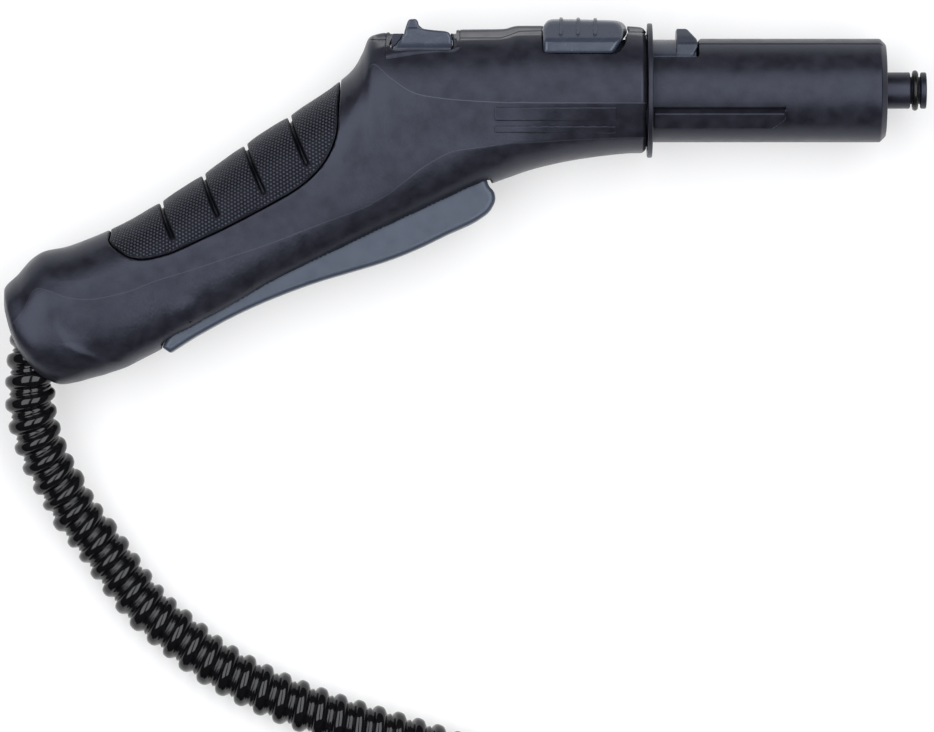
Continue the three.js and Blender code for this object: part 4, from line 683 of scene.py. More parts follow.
def swept_distance(x, y, outline, pivot, turns):
    """Distance from all that an outline covers at some turns about its pivot."""
    return np.minimum.reduce([flat_distance(x, y, turned_outline(outline, pivot, turn)) for turn in turns])


charcoal = moulded_plastic("charcoal_plastic", (0.003, 0.0032, 0.005), (0.027, 0.0275, 0.038),
                           0.36, 0.05, 0.8, 0.07, 1.44, (0.70, 0.76, 1.0))
# Where the other pieces sit in the housing, and the room that each one needs
collar_rim, collar_spigot = 1.7, 4.5
barrel_radius, barrel_length, barrel_tail = 17.6, 80.0, 15.0
bulkhead = 2.5
spigot_end = -collar_rim - collar_spigot - 0.5
spigot_seat = 19.25
boss_radius, screw_radius, screw_head_radius = 4.4, 1.5, 3.0
screw_reach, screw_seat = 9.0, 11.0
trigger_pivot = np.array(side_place(0.7156, 0.8060))
trigger_half, trigger_hub, trigger_travel = 8.5, 4.0, 4.0
trigger_pin_reach, latch_pin_reach = 11.8, 14.3
trigger_belly = [(0.6441, 0.8115), (0.5865, 0.7647), (0.5165, 0.7175), (0.4465, 0.6813), (0.3998, 0.6563),
                 (0.3531, 0.6229), (0.3065, 0.5812), (0.2660, 0.5492), (0.2427, 0.5200)]
trigger_outline = rounded(side_outline([
    (0.7493, 0.8887), (0.7514, 0.8968), (0.7483, 0.9006), (0.7421, 0.9083), (0.7390, 0.9121),
    (0.7347, 0.9071), (0.7032, 0.8704), *trigger_belly, (0.2334, 0.4867), (0.2365, 0.4630), (0.2442, 0.4505),
    (0.2505, 0.4171), (0.3329, 0.4727), (0.4060, 0.5367), (0.4792, 0.5979), (0.5523, 0.6591),
    (0.6441, 0.7508), (0.6954, 0.7967), (0.7156, 0.8014), (0.7288, 0.8134), (0.7374, 0.8426),
]), 8.0, 3)
plunger_foot = np.array([*side_place(0.2987, 0.4867), 0])
lever = plunger_foot[:2] - trigger_pivot
plunger_axis = np.array([-lever[1], lever[0], 0]) / np.linalg.norm(lever)
valve_radius = 8.0
selector_pivot = np.array([side_place(0.3485, 0)[0], housing_top - 7.1])
bezel_low, bezel_rear, bezel_front, bezel_half = 6.87, -90.48, -65.18, 15.1
valve_top = (bezel_low - 2.1 + valve_radius * plunger_axis[0] - plunger_foot[1]) / plunger_axis[1]
valve_bottom, valve_inlet = 0.376 * valve_top, 0.565 * valve_top
notch_floor = 12.6
latch_pivot = np.array([-35.7, housing_top - 15.1])
latch_pin_radius, trigger_pin_radius = 1.5, 2.0
latch_eye, latch_half, socket_radius = 3.2, 5.0, 6.3
spring_shelf = (-26.7, 4.8, -30), (-14.7, 6.8, 30)
screw_places = [side_place(0.8852, 0.7647), side_place(0.6565, 0.6396), side_place(0.4932, 0.4588),
                side_place(0.1665, 0.3198), (bezel_rear - 4.7, bezel_low - 3.5)]
button_floor, button_half, button_travel = 11.77, 17.6, 1.76
pad_outline = rounded(side_outline([
    (0.4745, 0.1752), (0.4760, 0.2253), (0.4776, 0.3087), (0.4916, 0.3726), (0.5134, 0.4227),
    (0.5422, 0.4644), (0.5779, 0.5006), (0.6487, 0.5673), (0.6993, 0.6090), (0.7351, 0.6396),
    (0.7778, 0.6580), (0.8058, 0.6496), (0.8276, 0.6201), (0.8354, 0.6007), (0.8315, 0.5826),
    (0.8510, 0.4867), (0.4932, 0.0695), (0.4745, 0.0834),
]), 6.0, 3)
pad_depth, pad_backing = 3.4, 2.2
button_side = rounded([
    (-34.0, 24.6), (-35.6, 23.8), (-37.06, 21.4), (-37.3, 20.2), (-37.2, 11.8), (-12.6, 11.8), (-11.0, 13.8),
    (-8.8, 17.0), (-8.5, 20.4), (-9.7, 22.7), (-12.2, 23.8), (-26.7, 24.5),
], 1.2, 3)
button_bow_depth = 1.3
gap = 0.3


def button_bow(x, z):
    """How far the button's front end falls back beside its middle."""
    share = np.clip((np.abs(z) - 5) / 6, 0, 1)
    return button_bow_depth * share * share * (3 - 2 * share) * np.clip((x + 24) / 12, 0, 1)


def on_socket(distance):
    """A place on the hose's line through the socket, from the socket's mouth outward."""
    return np.array(socket_mouth) + exit_direction * distance


def on_valve(distance):
    """A place on the valve's line, from the plunger's foot upward."""
    return plunger_foot + plunger_axis * distance


def pin(x, y, place, radius):
    """A round pin across the gun, as a distance in the side view."""
    return np.hypot(x - place[0], y - place[1]) - radius


def housing_field(x, y, z):
    sides = skin_sides(x, y, z)
    across = np.abs(z)
    pad = flat_distance(x, y, pad_outline)
    backing = pad_backing * np.clip(-pad / 3 + 1, 0, 1)
    chamfer = (sides + x - housing_face + front_chamfer) * 0.7071
    outer = both(both(sides, x - housing_face, edge_round), chamfer, edge_round)
    inner = sides + wall + backing
    bosses = np.minimum.reduce([pin(x, y, place, boss_radius) for place in screw_places])
    hub = np.maximum(pin(x, y, trigger_pivot, trigger_hub), trigger_half + 0.8 - across)
    latch = np.maximum(pin(x, y, latch_pivot, latch_eye), latch_half + 0.5 - across)
    bulk = np.abs(x - spigot_end + bulkhead / 2) - bulkhead / 2
    shelf = block(x, y, z, *spring_shelf, edge_round)
    ribs = []
    for place, clear in ((on_valve(valve_inlet - 6), valve_radius + gap), (on_socket(-4.5), socket_radius)):
        rib = np.maximum(np.abs(x - place[0]) - 6, np.abs(y - place[1]) - 1.5)
        ribs.append(np.maximum(rib, clear - across))
    inside = np.minimum.reduce([a + 0 * sides for a in (bosses, hub, latch, bulk, shelf, *ribs)])
    fittings = np.maximum(both(inside, sides + wall / 2, edge_round), outer)
    body = join(cut(outer, inner, edge_round), fittings, edge_round)
    slot = swept_distance(x, y, trigger_outline, trigger_pivot, (0, trigger_travel / 2, trigger_travel)) - 0.5
    pocket = block(x, y, z, (bezel_rear + 0.2, bezel_low - gap, -bezel_half - gap),
                   (bezel_front - 0.2, 40, bezel_half + gap), edge_round)
    notch = block(x, y, z, (bezel_rear + 2.0, notch_floor, -30), (bezel_front - 0.6, 40, 30), 2.4)
    room = np.interp(x, (-36.5, -30), (0.08, 0.28))
    pressed = swept_distance(x + button_bow(x, z), y + 0 * z, button_side, latch_pivot, (0, -1.2, -2.4, -3.5))
    button = both(pressed - room, across - button_half - gap, 1.0)
    radius = np.hypot(y, z)
    cuts = [
        pocket, notch, button, both(pad, -sides - pad_depth, edge_round),
        plate(slot, z, -trigger_half - 0.5, trigger_half + 0.5, edge_round),
        np.maximum(radius - barrel_radius - gap, -barrel_tail - 0.5 - x),
        np.maximum(radius - spigot_seat, spigot_end - x),
        rod(x, y, z, on_socket(-2.8), on_socket(120), hose_diameter / 2 + 1, edge_round),
        rod(x, y, z, on_socket(5), on_socket(-7.8), socket_radius, edge_round),
        rod(x, y, z, on_valve(valve_bottom - gap), on_valve(valve_top + gap), valve_radius + gap, edge_round),
        np.maximum(pin(x, y, trigger_pivot, trigger_pin_radius + gap), across - trigger_pin_reach),
        np.maximum(pin(x, y, latch_pivot, latch_pin_radius + gap), across - latch_pin_reach),
    ]
    for place in screw_places:
        shaft = pin(x, y, place, screw_radius + gap)
        middle, half = (screw_reach - screw_seat) / 2, (screw_seat + screw_reach) / 2 + gap
        cuts.append(np.maximum(shaft, np.abs(z - middle) - half))
        cuts.append(np.maximum(pin(x, y, place, screw_head_radius + gap), z + screw_seat))
    # Pockets and holes for the pad, the selector, the button, the trigger, the barrel and the rest
    for tool in cuts:
        body = cut(body, tool, edge_round)
    return body


shell_cell = 0.70
badge_cell = 0.36
badge_places, badge_rise = [(-53.6, -11.0, -12.4, -6.3), (-53.6, -15.0, -12.4, -12.6)], 0.3


def mark_value(tree, label):
    """What a piece's points say under a label."""
    return put(tree, "Attribute", attribute_name=label).outputs["Fac"]


def ramp(tree, value, start, end):
    """A smooth ramp from 0 where a value is at its start to 1 where it is at its end."""
    return put(tree, "MapRange", {"From Min": start, "From Max": end, "Value": value},
               interpolation_type="SMOOTHSTEP").outputs["Result"]


def mark_line(tree, label, width):
    """How near a marked line is, from 0 away from it to 1 on it, over half its width in millimetres."""
    return ramp(tree, reckon(tree, "ABSOLUTE", mark_value(tree, label)), width, 0.0)


def fed_by(shader, key):
    """The socket that feeds one of the shader's inputs so far."""
    return shader.inputs[key].links[0].from_socket


def bumped(tree, shader, height, depth, **settings):
    """Lay a bump over the one that the shader has."""
    bump = put(tree, "Bump", {"Strength": 1.0, "Distance": depth * mm, "Height": height,
                              "Normal": fed_by(shader, "Normal")}, **settings)
    feed(tree, shader, {"Normal": bump.outputs["Normal"]})


# The shells' creases are painted a little lighter as a painted highlight along each, and along their crown
# runs a thin bumped groove whose inside is painted black as painted shade
painted_crease_charcoal = charcoal.copy()
painted_crease_charcoal.name = "creased_charcoal_plastic"
tree = painted_crease_charcoal.node_tree
shader = tree.nodes["Principled BSDF"]
for label, width, colour in (("upper_crease", 0.32, (0.050, 0.052, 0.066)),
                             ("lower_crease", 0.30, (0.032, 0.034, 0.044)), ("crown_edge", 0.42, (0, 0, 0))):
    near = mark_line(tree, label, width)
    drawn = shade_between(tree, near, fed_by(shader, "Base Color"), (*colour, 1))
    feed(tree, shader, {"Base Color": drawn})
bumped(tree, shader, mark_line(tree, "crown_edge", 0.5), 0.4, invert=True)
for side_name, sign in (("right", 1), ("left", -1)):
    moulded_piece(f"housing_shell_{side_name}",
                  lambda x, y, z: both(housing_field(x, y, z), seam - sign * z, 0.2),
                  (-222, -101, -22 if sign < 0 else -0.6), (-1, 24, 22 if sign > 0 else 0.6),
                  shell_cell, painted_crease_charcoal, "gun", "charcoal_plastic", [f"housing_{side_name}"],
                  marks=crease_marks)
    for number, (left, bottom, right, top) in enumerate(badge_places):
        badge = rounded([(left, bottom), (right, bottom), (right, top), (left, top)], 0.8)

        def badge_field(x, y, z):
            skin_here = skin_sides(x, y, z)
            face = both(flat_distance(x, y, badge), skin_here - badge_rise, 0.35)
            return np.maximum(np.maximum(face, -(skin_here + 1.0)), 5 - sign * z)

        moulded_piece(f"blank_badge_{side_name}_{number + 1}", badge_field,
                      (left - 1, bottom - 1, 5 if sign > 0 else -22),
                      (right + 1, top + 1, 22 if sign > 0 else -5),
                      badge_cell, charcoal, "gun", "charcoal_plastic", [])

# Grip pad
# A soft dark rubber pad let into the back of the grip and folded over it, held by its edge.
# It has fine round pimples and four finger grooves, deep over the ridge and shallow on the flanks.
pad_thickness = 3.1
pad_grooves = [
    (0.5523, 0.2697, 0.5297, 0.3949), (0.6207, 0.3462, 0.5958, 0.4741),
    (0.6868, 0.4255, 0.6674, 0.5367), (0.7514, 0.5089, 0.7374, 0.5979),
]
groove_half, groove_depth, groove_end_depth, groove_bow, pad_dome = 0.62, 2.8, 0.9, 0.9, 0.5
pimple_pitch, pimple_radius, pimple_rise = 1.29, 0.44, 0.65
grip_round, grip_inset = 18, 23
grip_way = np.array(side_place(0.80, 0.60)) - side_place(0.50, 0.27)
grip_way /= np.linalg.norm(grip_way)
pad_rubber = moulded_plastic("pad_rubber", (0.046, 0.048, 0.064), (0.054, 0.056, 0.075),
                             0.38, 0.05, 0.3, 0.02, 1.34, (0.70, 0.76, 1.0))
tree = pad_rubber.node_tree
shader = tree.nodes["Principled BSDF"]
spots = put(tree, "CombineXYZ", {"X": mark_value(tree, "pimple_row"), "Y": mark_value(tree, "pimple_step")})
row_pitch = pimple_pitch * math.sqrt(3)
distances = []
for shift in (0.0, 0.5):
    place = put(tree, "Mapping", {"Location": (shift, shift, 0), "Vector": spots.outputs[0],
                                  "Scale": (1 / row_pitch, 1 / pimple_pitch, 1)}).outputs[0]
    for operation, other in (("FRACTION", (0, 0, 0)), ("SUBTRACT", (0.5, 0.5, 0)),
                             ("MULTIPLY", (row_pitch, pimple_pitch, 0))):
        place = put(tree, "VectorMath", {0: place, 1: other}, operation=operation).outputs[0]
    distances.append(put(tree, "VectorMath", {0: place}, operation="LENGTH").outputs["Value"])
dome = ramp(tree, reckon(tree, "MINIMUM", *distances), pimple_radius * 1.35, pimple_radius * 0.55)
height = reckon(tree, "MULTIPLY", dome, ramp(tree, mark_value(tree, "pad_inside"), 0.5, 1.0))
bumped(tree, shader, height, pimple_rise)
# Where the pimples fall away, in the finger grooves and along the pad's edges the colour is painted near
# black: painted shade.
painted_valley_shade = (0.001, 0.001, 0.0015, 1)
feed(tree, shader, {"Base Color": shade_between(tree, height, painted_valley_shade, fed_by(shader, "Base Color"))})


def pad_distance(x, y):
    """Distance in the side view from the pad's outline, drawn in by the gap, below zero inside."""
    return flat_distance(x, y, pad_outline) + gap


def pad_marks(x, y, z):
    """Places round and along the grip for the pimples, and how far inside the pad's edges a point is."""
    along = (x - pad_outline[0][0]) * grip_way[0] + (y - pad_outline[0][1]) * grip_way[1]
    ridge = -(x - trigger_pivot[0]) * grip_way[1] + (y - trigger_pivot[1]) * grip_way[0]
    inside = -pad_distance(x, y)
    for groove in pad_grooves:
        beside, past, _ = groove_place(x, y, groove)
        inside = np.minimum(inside, np.maximum(beside - groove_half, past) + 0.2)
    around = grip_round * np.arctan2(z, np.abs(ridge) - grip_inset)
    return {"pimple_row": around, "pimple_step": along, "pad_inside": inside}


def groove_place(x, y, groove):
    """How far a place is beside a groove's line and past its end, and its share of the way along."""
    start, end = np.array(side_place(*groove[:2])), np.array(side_place(*groove[2:]))
    length = np.linalg.norm(end - start)
    way = (end - start) / length
    along = (x - start[0]) * way[0] + (y - start[1]) * way[1]
    across = (x - start[0]) * way[1] - (y - start[1]) * way[0]
    return np.abs(across + groove_bow * np.clip(along / length, 0, 1.2) ** 2), along - length, along / length


def pad_field(x, y, z):
    sides = skin_sides(x, y, z)
    flat = pad_distance(x, y)
    nearest = np.minimum.reduce([groove_place(x, y, groove)[0] for groove in pad_grooves])
    stepped = sides + pad_dome * np.clip(1 - nearest / 6, 0, 1) ** 2
    pad = np.maximum(both(flat, stepped, 0.8), -(sides + pad_thickness))
    for groove in pad_grooves:
        beside, past, share = groove_place(x, y, groove)
        depth = groove_depth + (groove_end_depth - groove_depth) * np.clip(share, 0, 1)
        ends = both(beside - groove_half, past, 0.8)
        pad = cut(pad, cut(ends, sides + depth, 0.5), 0.5)
    return pad


moulded_piece("grip_pad_rubber", pad_field, (-186, -59, -20), (-104, 5, 20), 0.42, pad_rubber,
              "gun", "grip_rubber", ["grip_pad"], marks=pad_marks)

# Barrel, collar and pipe
# A round moulded barrel with a front wall, a slot for the latch and a pointed key rib on each side.
# A flanged collar centres it in the housing; the steam pipe with its seal stands out of the front.
barrel_wall, barrel_front = 2.4, 79.4
barrel_outline = rounded([(-barrel_tail, barrel_radius - barrel_wall), (-barrel_tail, barrel_radius),
                          (barrel_front - 2, barrel_radius), (barrel_front, barrel_radius - 2),
                          (barrel_front, 6.5), (barrel_length - barrel_wall, 6.5),
                          (barrel_length - barrel_wall, barrel_radius - barrel_wall)], 0.3)
slot_half, slot_floor, slot_front = 13.39, 6.42, 15.6
key_outline = rounded([(0.3, -3.25), (40.5, -3.25), (44.8, 0.4), (44.8, 3.25), (0.3, 3.25)], 0.5)
key_angle, key_rise, key_half, key_length = math.radians(35.4), 1.4, 3.25, 45.0
top_line_half = 8.3
barrel_plastic = charcoal.copy()
barrel_plastic.name = "barrel_plastic"
seal_rubber = moulded_plastic("seal_rubber", (0.003, 0.003, 0.0035), (0.006, 0.006, 0.0065),
                              0.32, 0.08, 0.4, 0.01, 1.42)


def barrel_field(x, y, z):
    body = flat_distance(x, np.hypot(y, z), barrel_outline)
    out = np.abs(z) * math.cos(key_angle) - y * math.sin(key_angle)
    across = np.abs(z) * math.sin(key_angle) + y * math.cos(key_angle)
    key = plate(flat_distance(x, across, key_outline), out, barrel_radius - 1.2, barrel_radius + key_rise,
                0.5)
    radius = np.hypot(y, z)
    beside = both(np.abs(across - key_half - 0.55) - 0.6, x - key_length + 0.2, 0.2)
    body = cut(body, both(beside, barrel_radius - 1.9 - radius, 0.3), 0.15)
    top_line_place = np.abs(np.abs(z) - top_line_half) - 0.30
    groove = np.maximum(both(top_line_place, barrel_radius - 0.7 - radius, 0.1), -y)
    body = cut(body, np.maximum(groove, x - barrel_length + 2), 0.15)
    body = join(body, key, 0.3)
    slot = block(x, y, z, (-40, slot_floor, -slot_half), (slot_front, 40, slot_half), 0.4)
    notch = block(x, y, z, (0, slot_floor + 2, -3.6), (slot_front + 0.7, 17.2, 3.6), 0.4)
    return cut(body, join(slot, notch, 0.2), 0.4)


moulded_piece("barrel_body", barrel_field, (-16, -19.4, -19.4), (81, 19.4, 19.4), 0.54, barrel_plastic,
              "gun", "charcoal_plastic", ["barrel"])
along_barrel = (1, 0, 0)
turned_piece("barrel_collar", rounded([(-6.2, 17.9), (-6.2, 18.95), (-1.7, 18.95), (-1.7, 22.85), (0, 22.85),
                                       (0, 17.9)], 0.5), (0, 0, 0), along_barrel, 160, charcoal,
             "gun", "charcoal_plastic", ["collar"])
pipe_outline = rounded([
    (-13.7, 3.3), (-13.7, 5.2), (-5.7, 5.2), (-5.7, 8.5), (-2.7, 8.5), (-2.7, 6.2), (7.7, 6.2), (7.7, 4.6),
    (11.2, 4.6), (11.2, 6.2), (13.2, 6.2), (13.2, 1.9), (-5.7, 1.9), (-5.7, 3.3),
], 0.55)
turned_piece("steam_pipe_end", pipe_outline, (barrel_length, 0, 0), along_barrel, 96, barrel_plastic,
             "gun", "charcoal_plastic", ["steam_pipe"])


def ring_outline(along, radius, wire):
    """The round section of a seal ring."""
    angles = 2 * math.pi * np.arange(20) / 20
    return np.stack([along + wire / 2 * np.cos(angles), radius + wire / 2 * np.sin(angles)], 1)


turned_piece("pipe_seal", ring_outline(9.4, 5.9, 2.0), (barrel_length, 0, 0), along_barrel, 96, seal_rubber,
             "gun", "seal_rubber", ["pipe_o_ring"])

# Selector
# A charcoal bezel drops into a notch in the housing's top; a grey rocker with a raised fin tilts in it
# on a steel pin and clicks over a flat spring.
grey_plastic = moulded_plastic("grey_plastic", (0.032, 0.038, 0.057), (0.042, 0.050, 0.073),
                               0.26, 0.04, 0.5, 0.03, 1.56, (0.82, 0.88, 1.0))
rocker_outline = rounded([
    (-88.2, 12.0), (-88.2, 13.2), (-88.0, 14.5), (-86.7, 14.9), (-86.3, 16.2), (-85.4, 16.7), (-85.0, 18.1),
    (-84.3, 18.6), (-83.9, 20.6), (-83.0, 23.2), (-82.4, 23.9), (-80.2, 24.0), (-79.5, 23.2), (-79.3, 21.9),
    (-77.6, 20.5), (-74.0, 20.1), (-70.4, 19.8), (-69.0, 19.4), (-68.1, 17.8), (-67.9, 15.5), (-68.3, 12.0),
], 0.6, 3)
rocker_hollow = [(-86.4, 5), (-86.0, 14.0), (-83.8, 16.6), (-82, 18.0), (-77.6, 18.6), (-71.0, 18.0),
                 (-69.8, 16.4), (-69.9, 5)]
rocker_half, rocker_top_half, rocker_wall, fin_half = 13.2, 11.0, 1.6, 9.0
hub_half, hub_radius, ear_thickness, hub_bore = 4.0, 3.2, 2.2, 1.8
bezel_wall, bezel_lip_drop, bezel_rim_drop = 1.4, 9.1, 1.53


def rocker_half_width(y):
    """Half of the rocker's width at a height: it flares out at its foot."""
    return rocker_top_half + (rocker_half - rocker_top_half) * np.exp(-np.maximum(y - 13.4, 0) / 1.5)


def rocker_field(x, y, z):
    across = np.abs(z)
    flat = flat_distance(x, y, rocker_outline)
    rocker = both(flat, across - rocker_half_width(y), 1.0)
    fin = block(x, y, z, (-83.9, 20.9, -40), (-78.4, 40, 40), 0.3)
    rocker = cut(rocker, np.maximum(fin, fin_half - across), 0.8)
    hollow = np.maximum(flat_distance(x, y, rocker_hollow), across - rocker_half_width(y) + rocker_wall)
    rocker = cut(rocker, hollow, 0.4)
    hub = np.maximum(pin(x, y, selector_pivot, hub_radius), across - hub_half)
    web = block(x, y, z, (selector_pivot[0] - rocker_wall, selector_pivot[1], -hub_half),
                (selector_pivot[0] + rocker_wall, selector_pivot[1] + 5.6, hub_half), 0.3)
    rocker = join(rocker, np.minimum(hub, web), 0.4)
    hole = np.maximum(pin(x, y, selector_pivot, hub_bore), across - 9.2)
    return cut(rocker, hole, 0.3)


def bezel_field(x, y, z):
    across = np.abs(z)
    rear, front, half, thick = bezel_rear, bezel_front, bezel_half, bezel_wall
    lip, rim = housing_top - bezel_lip_drop, housing_top - bezel_rim_drop
    floor = block(x, y, z, (rear, bezel_low, -half), (front, bezel_low + 1.6, half), 0.4)
    flank = block(x, y, across, (rear, bezel_low, half - thick), (front, lip, half), 0.5)
    ends = join(
        block(x, y, z, (rear, bezel_low, -half), (rear + thick, rim, half), 0.5),
        block(x, y, z, (front - thick, bezel_low, -half), (front, rim, half), 0.5), 0.1)
    swept = swept_distance(x, y, rocker_outline, selector_pivot, (0, -4, -8, -12, -16))
    fill = block(x, y, z, (rear, bezel_low, -10.5), (front, 19.2, 10.5), 0.4)
    under_cap = np.minimum(7.6 - np.abs(x - selector_pivot[0]), 16.5 - y)
    fill = both(fill, np.maximum(0.45 - swept, under_cap), 0.2)
    tray = join(join(join(flank, ends, 3.0), floor, 0.6), fill, 0.2)
    ear_from = hub_half + gap
    stem = np.maximum(np.abs(x - selector_pivot[0]) - hub_radius,
                      np.abs(y - (bezel_low + selector_pivot[1]) / 2) - (selector_pivot[1] - bezel_low) / 2)
    ear = np.minimum(pin(x, y, selector_pivot, hub_radius), stem)
    ear = plate(ear, across, ear_from, ear_from + ear_thickness, 0.4)
    tray = join(tray, ear, 0.4)
    hole = np.maximum(pin(x, y, selector_pivot, hub_bore), across - ear_from - ear_thickness - gap)
    tray = cut(tray, hole, 0.3)
    box_edge = block(x, y, z, (rear, bezel_low, -half), (front, 40, half), 0.4)
    return both(both(tray, box_edge, 0.3), skin_sides(x, y, z), 0.5)


moulded_piece("selector_frame", bezel_field, (-92, 6, -16), (-64, 22, 16), 0.34, charcoal,
              "gun", "charcoal_plastic", ["selector_bezel"])
moulded_piece("selector_cap", rocker_field, (-89.5, 10.8, -14), (-66.8, 25, 14), 0.30, grey_plastic,
              "selector", "grey_plastic", ["selector_rocker"])


def gap_shade_field(x, y, z):
    """Charcoal webs on the rocker's two ends that fill the gaps beside it as it tilts: a dark sheet standing
    in as painted shade in those gaps.
    """
    away = np.hypot(x - selector_pivot[0], y - selector_pivot[1])
    level = np.abs(y - 15.9) - 3.1
    rear = np.maximum(away - 10.45, x + 84.2)
    front = np.maximum(away - 11.25, -69.4 - x)
    web = np.maximum(np.maximum(np.minimum(rear, front), level), 0.1 - flat_distance(x, y, rocker_outline))
    return both(web, np.abs(z) - fin_half, 0.3)


moulded_piece("selector_gap_shade", gap_shade_field, (-89.5, 12, -9.6), (-66, 19.8, 9.6), 0.30, charcoal,
              "selector", "charcoal_plastic", [])

# Unlock button and latch
# A grey saddle-shaped button over the housing's top, with three short ribs for the thumb.
# It presses a hinged arm whose curved tongue and tooth lie in the barrel's slot over a spring.
button_section = rounded([(11.0, -17.5), (13.5, -17.55), (16.4, -17.1), (23.2, -10.0), (24.5, -5.5),
                          (24.62, 0), (24.5, 5.5), (23.2, 10.0), (16.4, 17.1), (13.5, 17.55), (11.0, 17.5)],
                         1.6, 3)
rib_places, rib_half, rib_rise = (-30.94, -25.16, -19.38), 0.55, 0.6
arm_half = 13.09
tongue_radius, tongue_half, tongue_middle, tongue_reach = 16.0, 1.3, 0.05, 14.75
# The arm's grey is a darker copy of the button's grey plastic, painted darker as painted shade.
shaded_latch_grey = moulded_plastic("latch_grey_plastic", (0.024, 0.029, 0.043), (0.034, 0.040, 0.059),
                             0.28, 0.04, 0.5, 0.03, 1.46, (0.82, 0.88, 1.0))
tooth_outline = rounded([(8.1, 11.3), (8.1, 20.9), (11.5, 20.9), (15.1, 16.8), (15.2, 14.6), (14.4, 12.7),
                         (12.8, 11.5)], 0.7)
tooth_section = rounded([(10.8, -12.7), (15.4, -12.5), (18.4, -9.6), (20.9, -6.5), (20.9, 6.5), (18.4, 9.6),
                         (15.4, 12.5), (10.8, 12.7), (12.8, 8.0), (14.6, 0), (12.8, -8.0)], 0.8)
bar_top = latch_pivot[1] + 9.0


def button_field(x, y, z):
    across = np.abs(z)
    section = flat_distance(y, z, button_section)
    flat = flat_distance(x + button_bow(x, z), y + 0 * z, button_side)
    button = both(flat, section, 1.8)
    for place in rib_places:
        bar = both(np.abs(x - place - 0.05 * (y - 24)) - rib_half, 18.2 - y, 0.8)
        button = join(button, both(button - rib_rise, bar, 0.3), 0.15)
    room = block(x, y, z, (-35.2, -40, -11.0), (-12.9, 20.2, 11.0), 0.5)
    button = cut(button, room, 0.5)
    saddle = np.maximum(np.hypot(y - button_travel, z) - barrel_radius - 0.5, -barrel_tail - 0.5 - x)
    button = cut(button, saddle, 0.4)
    post = block(x, y, z, (-23.3, bar_top + gap, -5), (-18.1, 22, 5), 0.3)
    button = join(button, post, 0.3)
    return np.maximum(button, button_floor - y + 0 * x)


def arm_field(x, y, z):
    across = np.abs(z)
    pin_x, pin_y = latch_pivot
    bar = plate(flat_distance(x, y, rounded([
        (pin_x, pin_y), (pin_x + 3.2, pin_y), (pin_x + 5.1, bar_top - 2.6), (-12.4, bar_top - 2.6),
        (-12.4, bar_top), (pin_x + 2.9, bar_top)], 0.6)), z, -latch_half, latch_half, 0.4)
    eye = plate(pin(x, y, latch_pivot, latch_eye), z, -latch_half, latch_half, 0.4)
    radius = np.hypot(y, z)
    tongue = both(np.abs(radius - tongue_radius) - tongue_half, np.abs(x - tongue_middle) - tongue_reach, 0.6)
    tongue = np.maximum(both(tongue, across - arm_half, 0.6), -y)
    riser = block(x, y, z, (-14.7, bar_top - 2.6, -latch_half), (-12.4, 15.7, latch_half), 0.3)
    tooth = both(flat_distance(x, y, tooth_outline), flat_distance(y, z, tooth_section), 0.5)
    lug = block(x, y, z, (13, 11.5, -3), (15.35, 16.6, 3), 0.3)
    tongue = np.minimum(tongue, lug)
    arm = join(np.minimum.reduce([a + 0 * radius for a in (bar, eye, riser, tongue)]), tooth, 0.4)
    return cut(arm, pin(x, y, latch_pivot, latch_pin_radius + gap), 0.3)


moulded_piece("unlock_cap", button_field, (-38.4, 10.8, -18.6), (-7.6, 26, 18.6), 0.34, grey_plastic,
              "latch", "grey_plastic", ["unlock_button"])
moulded_piece("latch_lever", arm_field, (-39.8, 3, -14), (15.6, 22, 14), 0.34, shaded_latch_grey,
              "latch", "grey_plastic", ["latch_arm"])

# Trigger
# A long grey moulded lever, a channel open towards the grip, hung on a steel pin at its rear end.
# Its front pulls the valve's plunger up.
trigger_wall = 1.8
lower_edge = side_outline(trigger_belly) + plunger_axis[:2] * trigger_wall
channel_outline = [*lower_edge, lower_edge[-1] + plunger_axis[:2] * 50, lower_edge[0] + plunger_axis[:2] * 50]
trigger_front = side_place(0.2334, 0)[0]
trigger_grey = moulded_plastic("trigger_grey_plastic", (0.040, 0.049, 0.071), (0.050, 0.061, 0.087),
                               0.34, 0.05, 0.5, 0.02, 1.5, (0.80, 0.88, 1.0))


def trigger_field(x, y, z):
    across = np.abs(z)
    blank = plate(flat_distance(x, y, trigger_outline), z, -trigger_half, trigger_half, 2.2)
    channel = plate(flat_distance(x, y, channel_outline), z, trigger_wall - trigger_half,
                    trigger_half - trigger_wall, 0.8)
    channel = both(channel, x - trigger_front + trigger_wall, 0.5)
    body = cut(blank, channel, 0.5)
    hub = plate(pin(x, y, trigger_pivot, trigger_hub - gap), z, -trigger_half, trigger_half, 0.4)
    contact = rod(x, y, z, on_valve(-17), on_valve(0), 5.3, 0.3)
    body = join(body, np.minimum(hub, np.maximum(contact, blank)), 0.4)
    return cut(body, pin(x, y, trigger_pivot, trigger_pin_radius + gap), 0.3)


moulded_piece("trigger_lever", trigger_field, (-167.5, -90.5, -9.3), (-52, -27.5, 9.3), 0.5, trigger_grey,
              "trigger", "grey_plastic", ["trigger"])

# Steam plug
# The plug on the hose's far end: a rubber cuff, a moulded charcoal body with finger ribs and a catch
# ledge, and a turned brass nipple with its seal.
plug_place = {"origin": tail_end, "turn": plug_heading}
brass = moulded_plastic("turned_brass", (0.50, 0.33, 0.12), (0.42, 0.27, 0.09), 0.28, 0.05, 0.2, 0.005,
                        metallic=1)
plug_start, plug_end, plug_half_width, plug_half_height = 20.6, 58.6, 15.0, 12.0
cuff_ribs, cuff_rib_width = (4.0, 8.2, 12.4), 2.2
finger_grooves = (26.5, 30.5, 34.5, 38.5)


def cuff_outline():
    """The cuff's outline from its bore over three soft ribs to the plug."""
    outline = [(gap, 3.0), (gap, 8.6)]
    for start in cuff_ribs:
        radius, end = 9.5 + start / 10, start + cuff_rib_width
        outline += [(start - 0.9, radius - 0.9), (start, radius), (end, radius + 0.2),
                    (end + 0.9, radius - 0.6)]
    return [*outline, (17.5, 11.2), (20.3, 11.4), (20.3, 3.0)]


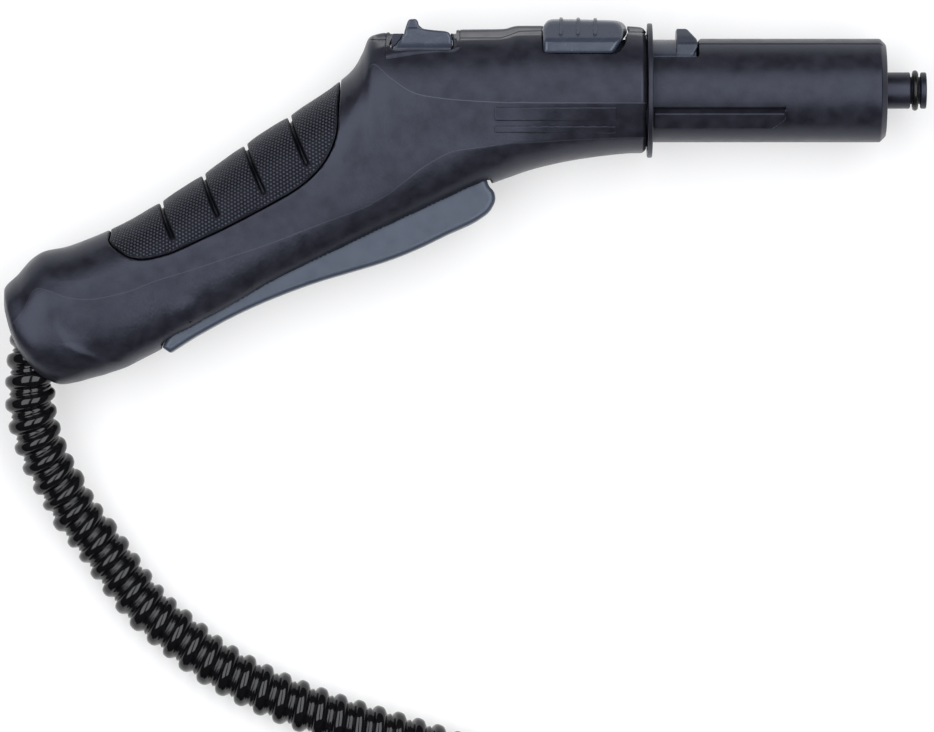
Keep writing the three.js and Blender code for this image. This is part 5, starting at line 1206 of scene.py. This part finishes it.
def plug_field(x, y, z):
    waist = 1.1 * np.clip(np.sin(np.clip((x - plug_start) / 38, 0, 1) * math.pi), 0, 1)
    body = both(np.abs(y) - plug_half_width + waist, np.abs(z) - plug_half_height + waist / 2, 9)
    body = both(body, np.abs(x - (plug_start + plug_end) / 2) - 19, 3.0)
    for place in finger_grooves:
        groove = cut(np.abs(x - place) - 0.8, body + 0.9, 0.8)
        body = cut(body, np.maximum(groove, 10 - np.abs(y)), 0.5)
    ledge = block(x, y, z, (39.6, -7.5, plug_half_height - 2.1), (44.6, 7.5, 40), 0.4)
    body = cut(body, ledge, 0.4)
    radius = np.hypot(y, z)
    body = both(body, 3.0 - radius, 0.4)
    return cut(body, np.maximum(radius - 7.8, plug_end - 3.3 - x), 0.4)


turned_piece("plug_sleeve", rounded(cuff_outline(), 0.7), (0, 0, 0), along_barrel, 72, seal_rubber,
             "gun", "seal_rubber", ["plug_cuff"], **plug_place)
moulded_piece("plug_shell", plug_field, (19.6, -16, -13), (59.6, 16, 13), 0.40, charcoal,
              "gun", "charcoal_plastic", ["plug_body"], **plug_place)
turned_piece("plug_nozzle", rounded([
    (0, 1.9), (0, 7.5), (3, 7.5), (3, 4.5), (9.5, 4.5), (9.5, 2.9), (13.1, 2.9), (13.1, 4.5), (15, 4.5),
    (15, 1.9)], 0.4), (plug_end - 3, 0, 0), along_barrel, 72, brass, "gun", "brass", ["plug_nipple"],
    **plug_place)
turned_piece("plug_seal", ring_outline(11.3, 4.2, 2.0), (plug_end - 3, 0, 0), along_barrel, 72, seal_rubber,
             "gun", "seal_rubber", ["plug_o_ring"], **plug_place)

# Small parts
# Ground steel pins and springs, a brass valve and hose socket and white steam tubes inside the housing.
steel = moulded_plastic("drawn_steel", (0.46, 0.46, 0.47), (0.34, 0.34, 0.35), 0.30, 0.08, 0.25, 0.006,
                        metallic=1)
tube_plastic = moulded_plastic("tube_plastic", (0.60, 0.59, 0.55), (0.50, 0.49, 0.45), 0.42, 0.06, 0.5, 0.01)
small_parts = {
    "valve_plunger": steel, "plunger_spring": steel, "trigger_pin": steel, "selector_pin": steel,
    "selector_detent": steel, "latch_pin": steel, "latch_spring": steel, "valve_body": brass,
    "hose_socket": brass, "plunger_o_ring": seal_rubber, "steam_outlet_tube": tube_plastic,
    "steam_feed_tube": tube_plastic, **{f"housing_screw_{number}": steel for number in range(1, 6)},
}
for name, material in small_parts.items():
    for place in bpy.data.objects[name].material_slots:
        place.link = "OBJECT"
        place.material = material
